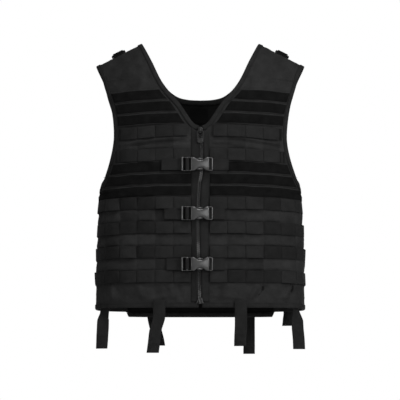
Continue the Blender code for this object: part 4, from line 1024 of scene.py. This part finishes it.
# The castings' black enamel is painted lighter on sharp edges, partly as enamel rubbed through and partly as
# painted edge highlights. The low slider's flanges and stops are lighter bare zinc, which is a painted
# highlight too.
enamel, tree, shader = finish_of("zinc_casting_black_enamel", "zip_metal")
edge = add(tree, "ShaderNodeNewGeometry").outputs["Pointiness"]
edge_wear_and_glint = sums(tree, "MULTIPLY_ADD", noise(tree, over_object(tree), 900.0, 3.0), 0.12, edge)
wire(tree, shader, {"Base Color": ranged(tree, edge_wear_and_glint, 0.006, 0.09, 0.6, 0.78), "Roughness": 0.4})
zinc, tree, shader = finish_of("zinc_casting_bare_painted_glint", "zip_metal")
scuff_and_glint = ranged(tree, noise(tree, over_object(tree), 700.0, 4.0), 0.08, 0.22, 0.35, 0.65)
wire(tree, shader, {"Base Color": scuff_and_glint, "Metallic": 0.4, "Roughness": 0.4})


def rigid(solid, x0, z0, lift0):
    """A solid's local x, height and lift set in front of the zip's line, square to the vest's front."""
    points, faces = solid
    y = -half_depth(z0) - lift0 - points[..., 2]
    return np.stack([x0 + points[..., 0], y, z0 + points[..., 1]], -1), faces


def upright(solid):
    """A solid drawn along x turned to stand: its x goes up, and its height across."""
    points, faces = solid
    return np.stack([-points[..., 1], points[..., 0], points[..., 2]], -1), faces


def slider(z0, upside_down):
    """A slider's front shield, wide where the rows part, and the ridge down its middle."""
    x = np.array([-6.5, -6.2, -5.6, -3, 0, 2, 4.2, 5.6, 6.2, 6.5])
    half = np.array([2.6, 3.2, 3.5, 3.9, 4.6, 5.0, 4.8, 4.1, 3.5, 2.8])
    thick = np.array([0.6, 1.1, 1.3, 1.4, 1.5, 1.5, 1.5, 1.3, 1.1, 0.6])
    if upside_down:
        x, half, thick = -x[::-1], half[::-1], thick[::-1]
    shield, ridge = loft(x, half, thick, 3.4, 20), loft(x * 0.75, 0.6, 0.7, 2.6, 10, 0.95)
    return [rigid(upright(each), 0, z0, 4.3) for each in (shield, ridge)]


TOP_SLIDER, LOW_SLIDER = -178.5, -533.5
PULL_LIFT, PULL_AXIS = 7.5, TOP_SLIDER - 1  # the pull tab's hinge: lift, height
shells = slider(TOP_SLIDER, False)
arch = np.linspace(0, np.pi, 15)
c, d = ring_of(2.6, 8)
bow = 2.25 + 0.65 * d[None, :]
loop = np.stack([
    1.3 * c[None, :] + 0 * arch[:, None], PULL_AXIS + bow * np.cos(arch)[:, None],
    PULL_LIFT + bow * np.sin(arch)[:, None],
], -1)
foot = loop[[0, -1]].copy()
foot[..., 2] = PULL_LIFT - 2.6
loop = np.concatenate([foot[:1], loop, foot[1:]])
bail = np.stack([loop[..., 0], -half_depth(TOP_SLIDER) - loop[..., 2], loop[..., 1]], -1)
shells.append((bail, tube_faces(len(loop), len(c))))
put("top_slider", *merged(shells), enamel, ["zip_slider_top"])


def swept(path, half_wide, half_thick, power=3.5, sides=12, closed=False):
    """A bar drawn along a flat path of x and height, with its section square to it."""
    path = np.asarray(path, float)
    if closed:
        way = unit(np.roll(path, -1, axis=0) - np.roll(path, 1, axis=0))
    else:
        way = unit(np.gradient(path, axis=0))
    c, d = ring_of(power, sides)
    across = np.stack([-way[:, 1], way[:, 0]], -1)
    flat = path[:, None] + across[:, None] * (np.broadcast_to(half_wide, len(path))[:, None] * c)[..., None]
    high = np.broadcast_to(half_thick * d, flat.shape[:2])
    return np.concatenate([flat, high[..., None]], -1), tube_faces(len(path), sides, closed)


shells = slider(LOW_SLIDER, True)
enamelled = sum(len(faces) for _, faces in shells)
for line in (
    [(-3.4, 5.6), (-4.7, 0.5), (-7.4, -5.0)], [(2.9, 4.6), (4.0, 0.5), (5.9, -5.0)],
    [(-2.4, 3.4), (-1.6, -1), (-0.6, -5.6)],
):
    path = np.array(line)[[0, 0, 1, 2, 2]] + np.linspace(-0.5, 0.5, 5)[:, None] * (0, -1)
    shells.append(rigid(swept(path, 0.55, 0.9, 2.6, 8), 0, LOW_SLIDER, 5.4))
for x, z in ((-2.6, 16.2), (0.9, 15.0), (-2.6, 12.2), (0.9, 17.8), (-0.5, 7.4)):
    stop = loft(np.linspace(-0.9, 0.9, 6), 0.9 * np.array([0.5, 0.85, 1, 1, 0.85, 0.5]), 0.9, 2.4, 10)
    shells.append(rigid(stop, x, LOW_SLIDER + z, 3.6))
points, faces = merged(shells)
part = (np.arange(len(faces)) >= enamelled).astype(np.int32)
put("low_slider", points, faces, [enamel, zinc], ["zip_slider_bottom"], part=part)


def rounded_loop(x0, x1, z0, z1, radius):
    """A rectangle's outline with round corners, anticlockwise from its lower right."""
    right, left, low, high = x1 - radius, x0 + radius, z0 + radius, z1 - radius
    line = []
    for x, z, start in ((right, low, -90), (right, high, 0), (left, high, 90), (left, low, 180)):
        a = np.radians(start + np.linspace(0, 90, 7))
        line.append(np.stack([x + radius * np.cos(a), z + radius * np.sin(a)], -1))
    return np.concatenate(line)


pull_frame = swept(rounded_loop(-5.4, 5.4, -24.9, 0.0, 2.2), 1.1, 1.0, closed=True)
grip = loft(np.linspace(-5.2, 5.2, 12), 4.0, 1.0, 4, 12, centre=-20.9)
bar = loft(np.linspace(-5, 5, 8), 1.0, 1.0, 2.2, 12)
# The frame lies at the slider's own depth.
frame_lift = PULL_LIFT + half_depth(TOP_SLIDER) - half_depth(PULL_AXIS)
placed = (pull_frame, frame_lift), (grip, PULL_LIFT), (bar, PULL_LIFT)
shells = [rigid(each, 0, PULL_AXIS, lift) for each, lift in placed]
put("pull_tab", *merged(shells), enamel, ["zip_pull"], body="pull")


# Plackets
# The front edge of each panel is a folded strip of the same nylon, stitched down 2 mm from its fold, that
# lies beside the teeth and keeps cloth out of the slider.
# distance from the zip's line, lift
PLACKET = np.array([
    (3.9, 1.2), (3.8, 1.9), (4.3, 2.6), (6, 2.7), (10, 2.3), (14, 1.8), (17.5, 1.3), (18.9, 1.1), (19.2, 0.8),
    (18.8, 0.5), (14, 0.5), (10, 0.5), (6, 0.5), (4.4, 0.7),
])
# The plackets' nylon is painted darker than the panels' same nylon: painted shade.
folded = woven("nylon_plain_weave_folded_painted_shade", "cloth", "242424", 0.9, 0.9, 0.66, 0.4, 0.10)
for side, word in SIDES:
    tops = np.interp(PLACKET[:, 0], NECK[:, 0], NECK[:, 1]) - BINDING - 3.0
    t = np.linspace(0, 1, 150)[:, None]
    z = (HEM + BINDING + 1.5) * (1 - t) + tops * t
    follow = rise((14 - PLACKET[:, 0]) / 8)
    s = PLACKET[:, 0] + side * wander(z) * follow + 0.4 * np.sin(z / 21 + side) * (1 - follow)
    points = laid(side * s, z, PLACKET[:, 1] + 0.35 * ripple(s, z, 34, 60 + side))
    faces = tube_faces(len(t), len(PLACKET))
    put(f"placket_{word}_fold", points, faces, folded, [f"placket_{word}"], spread(side * s, z))


# Buckles
# Three side-release buckles moulded in acetal. The socket is a waisted shell with an open mouth at the left;
# the prongs spring out in its waist. The ladder half holds its webbing round a bar, and the socket's webbing
# is sewn fast.
acetal = hard(
    "acetal_moulded_satin", "buckle_plastic", (120.0, 3.0), "3a3a3a", (0.27, 0.35), (1400.0, 2.0), 0.12, 1.0,
)
# number, height, where the webbing of its left half and of its right half ends
BUCKLES = (1, -250.0, -80.7, 58.9), (2, -352.5, -74.6, 50.0), (3, -457.8, -69.8, 50.0)
BUCKLE_LIFT = 10.9
SOCKET_X = np.array([-17.6, -13, -10, -6, 0, 6, 10, 14, 17.5], float)
SOCKET_HALF = np.array([14.2, 13.8, 12.2, 9.4, 8.2, 9.4, 12.4, 14.2, 14.4])
# The bar behind the mouth, and how wide it is: x and height, half width
END_BAR = [
    (16, 13.2), (22.9, 13.2), (24.2, 12.8), (24.8, 11.4), (24.8, 6), (24.8, 0), (24.8, -6), (24.8, -11.4),
    (24.2, -12.8), (22.9, -13.2), (16, -13.2),
]
END_BAR_HALF = np.array([0.75, 0.75, 1.0, 1.3, 1.3, 1.3, 1.3, 1.3, 1.0, 0.75, 0.75])
# The ladder half's bars: two ends, number of points, half width, half thickness, squareness, how far back
LADDER = (
    ((-37.7, -14.0), (-37.7, 14.0), 12, 1.7, 3.3, 8, 0), ((-37.5, 13.7), (-19, 13.7), 10, 0.7, 2.0, 2.2, 2.6),
    ((-37.5, -13.7), (-19, -13.7), 10, 0.7, 2.0, 2.2, 2.6), ((-27.3, -13.5), (-27.3, 13.5), 10, 2.1, 1.7, 3, 0),
    ((-18.7, -13.8), (-18.7, 13.8), 12, 0.9, 2.6, 3, 0),
)
for number, z0, *_ in BUCKLES:
    x = np.concatenate([[17.5, 17.4, 17.0], np.linspace(16.2, -16.6, 46), [-17.2, -17.5, -17.6]])
    outer_half, crown = eased(x, SOCKET_X, SOCKET_HALF), 4.6 - 0.0032 * (x - 8) ** 2
    outer_half[:3] -= (1.2, 0.5, 0.1)  # both ends are rounded over
    outer_half[-3:] -= (0.0, 0.25, 0.9)
    crown[:3] -= (1.3, 0.5, 0.15)
    crown[-3:] -= (0.0, 0.2, 0.7)
    # From the mouth's rim the shell turns back inside.
    turned_in = np.array([(-17.4, 11.6, 2.0), (-16.8, 11.3, 1.95), (-10, 8.6, 1.9), (2.0, 6.2, 1.85)])
    shell = loft(*np.concatenate([np.stack([x, outer_half, crown], -1), turned_in]).T, 3.6, 32)
    end_bar, bar_faces = swept(END_BAR, END_BAR_HALF, 2.2)
    end_bar[..., 2] -= 0.5 * np.clip(end_bar[..., 0] - 16, 0, 9)
    lip = loft(np.linspace(17.0, 18.1, 6), 13.4, 1.8, 4, 20)
    parts = (shell, 0), ((end_bar, bar_faces), 0.8), (lip, 2.4)
    shells = [rigid(each, 0, z0, BUCKLE_LIFT - back) for each, back in parts]
    put(f"socket_{number}", *merged(shells), acetal, [f"buckle_socket_{number}"], sharp=50)

    shells = [
        rigid(swept(np.linspace(one, other, count), wide, deep, power, 16), 0, z0, BUCKLE_LIFT - back)
        for one, other, count, wide, deep, power, back in LADDER
    ]
    shells.append(rigid(loft(np.linspace(-19, 1.5, 12), 5.6, 1.7, 4, 16), 0, z0, BUCKLE_LIFT))
    x = np.linspace(-7.2, 5.0, 16)
    swell = np.sqrt(np.clip(1 - ((x + 1.1) / 6.15) ** 2, 0.01, 1))
    for side, _ in SIDES:
        pad = loft(x, 2.2 * swell, 2.6 * np.sqrt(swell), 2.4, 16, centre=side * 10.4)
        shells.append(rigid(pad, 0, z0, BUCKLE_LIFT))
    put(f"prongs_{number}", *merged(shells), acetal, [f"buckle_prong_{number}"], sharp=50)


# Buckle webbing
# The left tab is sewn to the front and doubled round the ladder's middle bar, so it can be drawn tight. The
# right one is sewn on both sides of the socket's end bar.
# Near-black webbing for the left tab's run under the ladder's bars: painted shade where the slots and bars
# shade it.
painted_shade_webbing = woven("nylon_webbing_painted_shade", "webbing", "0b0b0b", 2.1, 1.05, 0.6, 0.6, 0.05)  # inside the ladder
TAB_WIDE = 24.6


def bent(path, count=90):
    """A smooth path through a table of x and lift, as evenly spaced points."""
    path = np.asarray(path, float)
    run = lengths(path)
    at = np.linspace(0, run[-1], count)
    return np.stack([eased(at, run, path[:, 0]), eased(at, run, path[:, 1])], -1)


def thickened(line, v_half, thick):
    """A tape's section carried along a bent line: the section's places across, and the two that it bends
    in."""
    way = unit(np.gradient(line, axis=0))
    deep = (TAPE_SECTION[:, 1] - 0.5) * thick
    return TAPE_SECTION[:, 0] * v_half, line[:, :1] - way[:, 1:] * deep, line[:, 1:] + way[:, :1] * deep


OVER, UNDER = 14.1, 5.4  # lift of the tab over the ladder's middle bar, and under it
for number, z0, left_end, right_end in BUCKLES:
    left = [
        (left_end, 4.9), (left_end + 8, 5.0), (-54, 5.0), (-46, 4.9), (-41, UNDER - 0.4), (-35, UNDER),
        (-32, UNDER + 0.5), (-30.6, UNDER + 2.2), (-30.5, OVER - 1.7), (-29.6, OVER - 0.4), (-28.2, OVER),
        (-26, OVER), (-24.8, OVER - 0.4), (-23.9, OVER - 1.7), (-23.9, UNDER + 2.0), (-23.3, UNDER + 0.7),
        (-21.8, UNDER), (-18.9, UNDER),
    ]
    right = [
        (19.7, 13.2), (19.6, 10.8), (19.8, 8.4), (20.8, 6.6), (23.3, 5.6), (29, 5.2), (40, 5.1),
        (right_end, 5.0),
    ]
    for word, path in (("left", left), ("right", right)):
        line = bent(path)
        v, s, lift = thickened(line, TAB_WIDE / 2, WEBBING_THICK)
        points = (laid(s, z0 + 0 * s, lift) + np.array([0, 0, 1.0]) * v[None, :, None]).reshape(-1, 3)
        faces = tube_faces(len(line), len(v))
        near = points[faces[:, 0]]
        # The faces of the run under the ladder take the painted shade.
        painted_shade_run = (word == "left") & (near[:, 0] > -38) & (-near[:, 1] - half_depth(z0) < 9)
        put(
            f"tab_{number}_{word}", points, faces, [webbing, painted_shade_webbing], [f"buckle_web_{number}_{word}"],
            spread(lengths(line)[:, None], v), part=painted_shade_run.astype(np.int32),
        )


# Belt straps
# Short ends of webbing sewn behind the hem, front and back, for holding a belt. They hang free, so each one
# turns and bends its own way.
# name, distance round at the hem, face, lift of its underside, lower end, and by equal shares of its hanging
# length how far it has moved across and how many degrees it has turned, clockwise from above
BELT_STRAPS = (
    ("left_side_front", -217, 1, -7.5, -631, (-1, -4, -5, -6, -7), (0, -36, -46, -42, -34)),
    ("left_front", -85, 1, 4.3, -641, (0, 0, -7, -10, -13), (0, 0, -4, -6, -8)),
    ("right_front", 83.5, 1, 4.3, -627, (0, 0, 0, -1, -2), (0, 4, 8, 16, 26)),
    ("right_side_front", 218, 1, -7.5, -632, (1, 3, 4, 6, 7), (0, 36, 44, 46, 46)),
    ("left_side_back", -215, -1, 4.3, -606, (0, -1, -3, -4, -4), (0, 10, 16, 20, 20)),
    ("left_back", -103, -1, 4.3, -620, (0, 3, 7, 11, 14), (0, 0, 6, 8, 8)),
    ("right_back", 106, -1, 4.3, -638, (0, 0, 0, 0, 0), (0, 2, 3, 1, 0)),
    ("right_side_back", 195, -1, 4.3, -578, (0, 0, -1, -1, -2), (0, -10, -14, -18, -18)),
)
STRAP_SEWN = 14  # how far up behind the hem a strap is sewn
for name, s0, face, under, low, sway, turned in BELT_STRAPS:
    hem = HEM if face > 0 or abs(s0) > BACK_HEM_HALF else BACK_HEM
    z = np.linspace(hem + STRAP_SEWN, low, 72)[:, None]
    share = np.clip((hem - z) / (hem - low), 0, 1)
    moved, degrees = (eased(share, np.linspace(0, 1, 5), np.array(each, float)) for each in (sway, turned))
    turn = turn_of(s0, HEM, face)
    base, out = form(turn, HEM) * (1, 1, 0), outward(turn, HEM) * (1, 1, 0)
    along_hem = np.cross((0, 0, face), out)
    a = np.radians(degrees)
    facing = out * np.cos(a) - face * along_hem * np.sin(a)
    way = along_hem * np.cos(a) + face * out * np.sin(a)
    v, thick = TAPE_SECTION[:, 0] * TAPE / 2, TAPE_SECTION[:, 1] * WEBBING_THICK
    cup = 0.008 * v**2 * (share * (1 - share) * 3)
    deep = thick + cup + 0.5 * ripple(z, 3 * z, 45, 300 + len(name)) * share
    sewn = laid(s0 + v, HEM, under + thick, face) * (1, 1, 0)
    hung = base + out * under + facing[:, None] * deep[..., None] + way[:, None] * v[None, :, None]
    free = np.clip(share / 0.3, 0, 1)[..., None]
    points = sewn * (1 - free) + hung * free
    points = points + moved[..., None] * np.array([1.0, 0, 0]) + z[..., None] * np.array([0, 0, 1.0])
    piece = put(
        f"belt_strap_{name}_webbing", points, tube_faces(len(z), len(v)), webbing,
        [f"belt_strap_{name}"], spread(z, v),
    )


# Shoulder rings
# A moulded D-ring on each shoulder, held on its straight side by a loop of webbing sewn over the seam. The
# ring comes polished from its mould, and handling leaves dull smears and fine scuffs in the shine.
# The keepers' webbing has a tighter weave and is painted darker than the rows' webbing: painted shade.
shaded_keeper_webbing = woven("nylon_webbing_tight_weave_painted_shade", "webbing", "151515", 1.6, 0.9, 0.7, 0.7, 0.10)
gloss = hard(
    "acetal_ring_polished", "ring_plastic", (160.0, 3.0), (0.0012, 0.003), (0.24, 0.36), (1200.0, 3.0),
    0.08, 0.35,
)
RING_X, RING_BACK, RING_LIFT, RING_LEAN = 174, 7, 7.2, math.radians(98)
RING_HALF, KEEPER_HALF, KEEPER_THICK, KEEPER_ROUND = 14.3, 11.5, 1.3, 3.4


def seam_top(y):
    """How far the cloth lies below the seam's line, at a distance in front of it or behind."""
    share = min(abs(y) / (float(half_depth(0)) * 0.85), 1)
    return SHOULDER_DROP * (1 - (1 - share**SHOULDER_POWER) ** (1 / SHOULDER_POWER))


for side, word in SIDES:
    point = np.array([side * RING_X, 0, float(ridge_height(RING_X))])
    along_seam = np.array([math.cos(SEAM_FALL), 0, -side * math.sin(SEAM_FALL)])
    up = np.array([side * math.sin(SEAM_FALL), 0, math.cos(SEAM_FALL)])
    pivot = point + up * RING_LIFT + np.array([0, RING_BACK, 0])
    rising = up * math.cos(RING_LEAN) + np.array([0, math.sin(RING_LEAN), 0])
    across = np.cross(along_seam, rising)
    a = np.linspace(0, np.pi, 33)
    line = np.concatenate([
        np.stack([np.linspace(-RING_HALF, RING_HALF, 12), np.zeros(12)], -1),
        np.stack([RING_HALF * np.cos(a), 6.5 + 12.1 * np.sin(a)], -1),
    ])
    line[0], line[11] = (-13.7, 0.2), (13.7, 0.2)
    ring, faces = swept(line, 2.1, 2.1, 2.2, 14, True)
    points = pivot + ring[..., :1] * along_seam + ring[..., 1:2] * rising + ring[..., 2:] * across
    put(f"ring_{word}", points, faces, gloss, [f"shoulder_ring_{word}"], body=f"ring_{word}")
    # The keeper: up over the cloth behind, round the ring's straight side and down in front
    around = np.radians(np.linspace(-62, 242, 12))
    path = [(y, 2.0 - seam_top(y)) for y in (-24, -16, -8, -1)]
    path += [(RING_BACK - KEEPER_ROUND * math.cos(b), RING_LIFT + KEEPER_ROUND * math.sin(b)) for b in around]
    path += [(y, 2.0 - seam_top(y)) for y in (15, 22, 30)]
    v, y, h = thickened(bent(path, 110), KEEPER_HALF, KEEPER_THICK)
    points = point + along_seam * v[None, :, None] + up * h[..., None] + np.array([0, 1.0, 0]) * y[..., None]
    put(
        f"keeper_{word}", points, tube_faces(len(y), len(v)), shaded_keeper_webbing, [f"ring_keeper_{word}"],
        spread(np.arange(len(y))[:, None] * 0.9, v),
    )


# Neck label
# A smooth black woven label sewn inside the back of the neck. It is left bare.
satin = woven("label_satin_woven", "label", "060606", 0.35, 0.35, 0.8, 0.15, 0.05)
s, z = np.meshgrid(np.linspace(-22.5, 16.5, 30), np.linspace(-130, -96, 24), indexing="ij")
outer = laid(s, z, -4.2, -1)
inner = laid(s, z, -5.0 - 0.3 * np.sin(s / 9) * np.sin((z + 96) / 11), -1)
points, faces, _ = shut(outer, inner)
put("bare_label", points, faces, satin, ["neck_label"], np.concatenate([spread(s, z)] * 2), sharp=60)


# Stitches
# Lock stitches in bonded polyester thread, about six to the inch: along the bindings, the plackets, the edges
# of the loop tapes and the seam across each shoulder. Each is a short length of thread whose ends dive into
# the cloth.
def stitches(s, z, lift, face=1):
    """A row of stitches along a line of places on the cloth: four rings of four points each."""
    run = lengths(laid(s, z, 0, face))
    at = np.arange(0.5, run[-1] - 3.1, 4.2)[:, None] + 3.1 * np.array([0, 0.15, 0.85, 1.0])
    s, z = np.interp(at, run, s), np.interp(at, run, z)
    way = unit(np.stack([s[:, -1] - s[:, 0], z[:, -1] - z[:, 0]], -1))
    dive = np.array([-0.45, 0.1, 0.1, -0.45])[None, :, None]
    up, out = THREAD * np.cos(CORNERS), THREAD * np.sin(CORNERS)
    along_s, along_z = (way[:, k][:, None, None] for k in (0, 1))
    points = laid(s[..., None] - along_z * up, z[..., None] + along_s * up, lift + dive + out, face)
    faces = tube_faces(4, 4)[None] + 16 * np.arange(len(at))[:, None, None]
    return points, faces.reshape(-1, 4)


IN = BINDING - 2  # the bindings' stitches run 2 mm from their inner edge
BOUND = 1.65  # lift of the stitches on a binding
# the two rows on each placket: distances from the zip, the height of their top
FOLD_SEAM, PLACKET_SEAM, ZIP_SEAM_TOP = 6.2, 17.2, -182
seams = []
for side, _ in SIDES:
    s, z = moved_in(along(armhole, np.linspace(0, 0.985, 300)), IN).T
    seams += [stitches(side * s, z, BOUND, face) for face in (1, -1)]
    for line, start, count, face in ((neck, 0.02, 300, 1), (back_neck, 0.0, 200, -1)):
        s, z = moved_in(along(line, np.linspace(start, 0.985, count)), -IN).T
        seams.append(stitches(side * s, z, BOUND, face))
    for start, hem, face in ((5, lambda s: 0 * s + HEM, 1), (0, back_hem, -1)):
        s = np.linspace(start, quarter(HEM) - 3, 260)
        seams.append(stitches(side * s, hem(s) + IN, BOUND, face))
    z = np.linspace(TEETH_LOW, ZIP_SEAM_TOP, 200)
    seams.append(stitches(side * FOLD_SEAM + wander(z), z, 2.95))
    seams.append(stitches(side * (PLACKET_SEAM + 0 * z), z, 2.75))
    x = np.linspace(96, 204, 60)
    yoke_z = -YOKE_DROP - YOKE_SLANT * (round_of(x, -60 + 0 * x) - YOKE_FROM)
    seams.append(stitches(side * round_of(x, yoke_z), yoke_z - 3.2, 0.25))
seams += [stitches(side * s, z, 1.6) for side, s, z in patch_edges]
put("stitches", *merged(seams), thread)
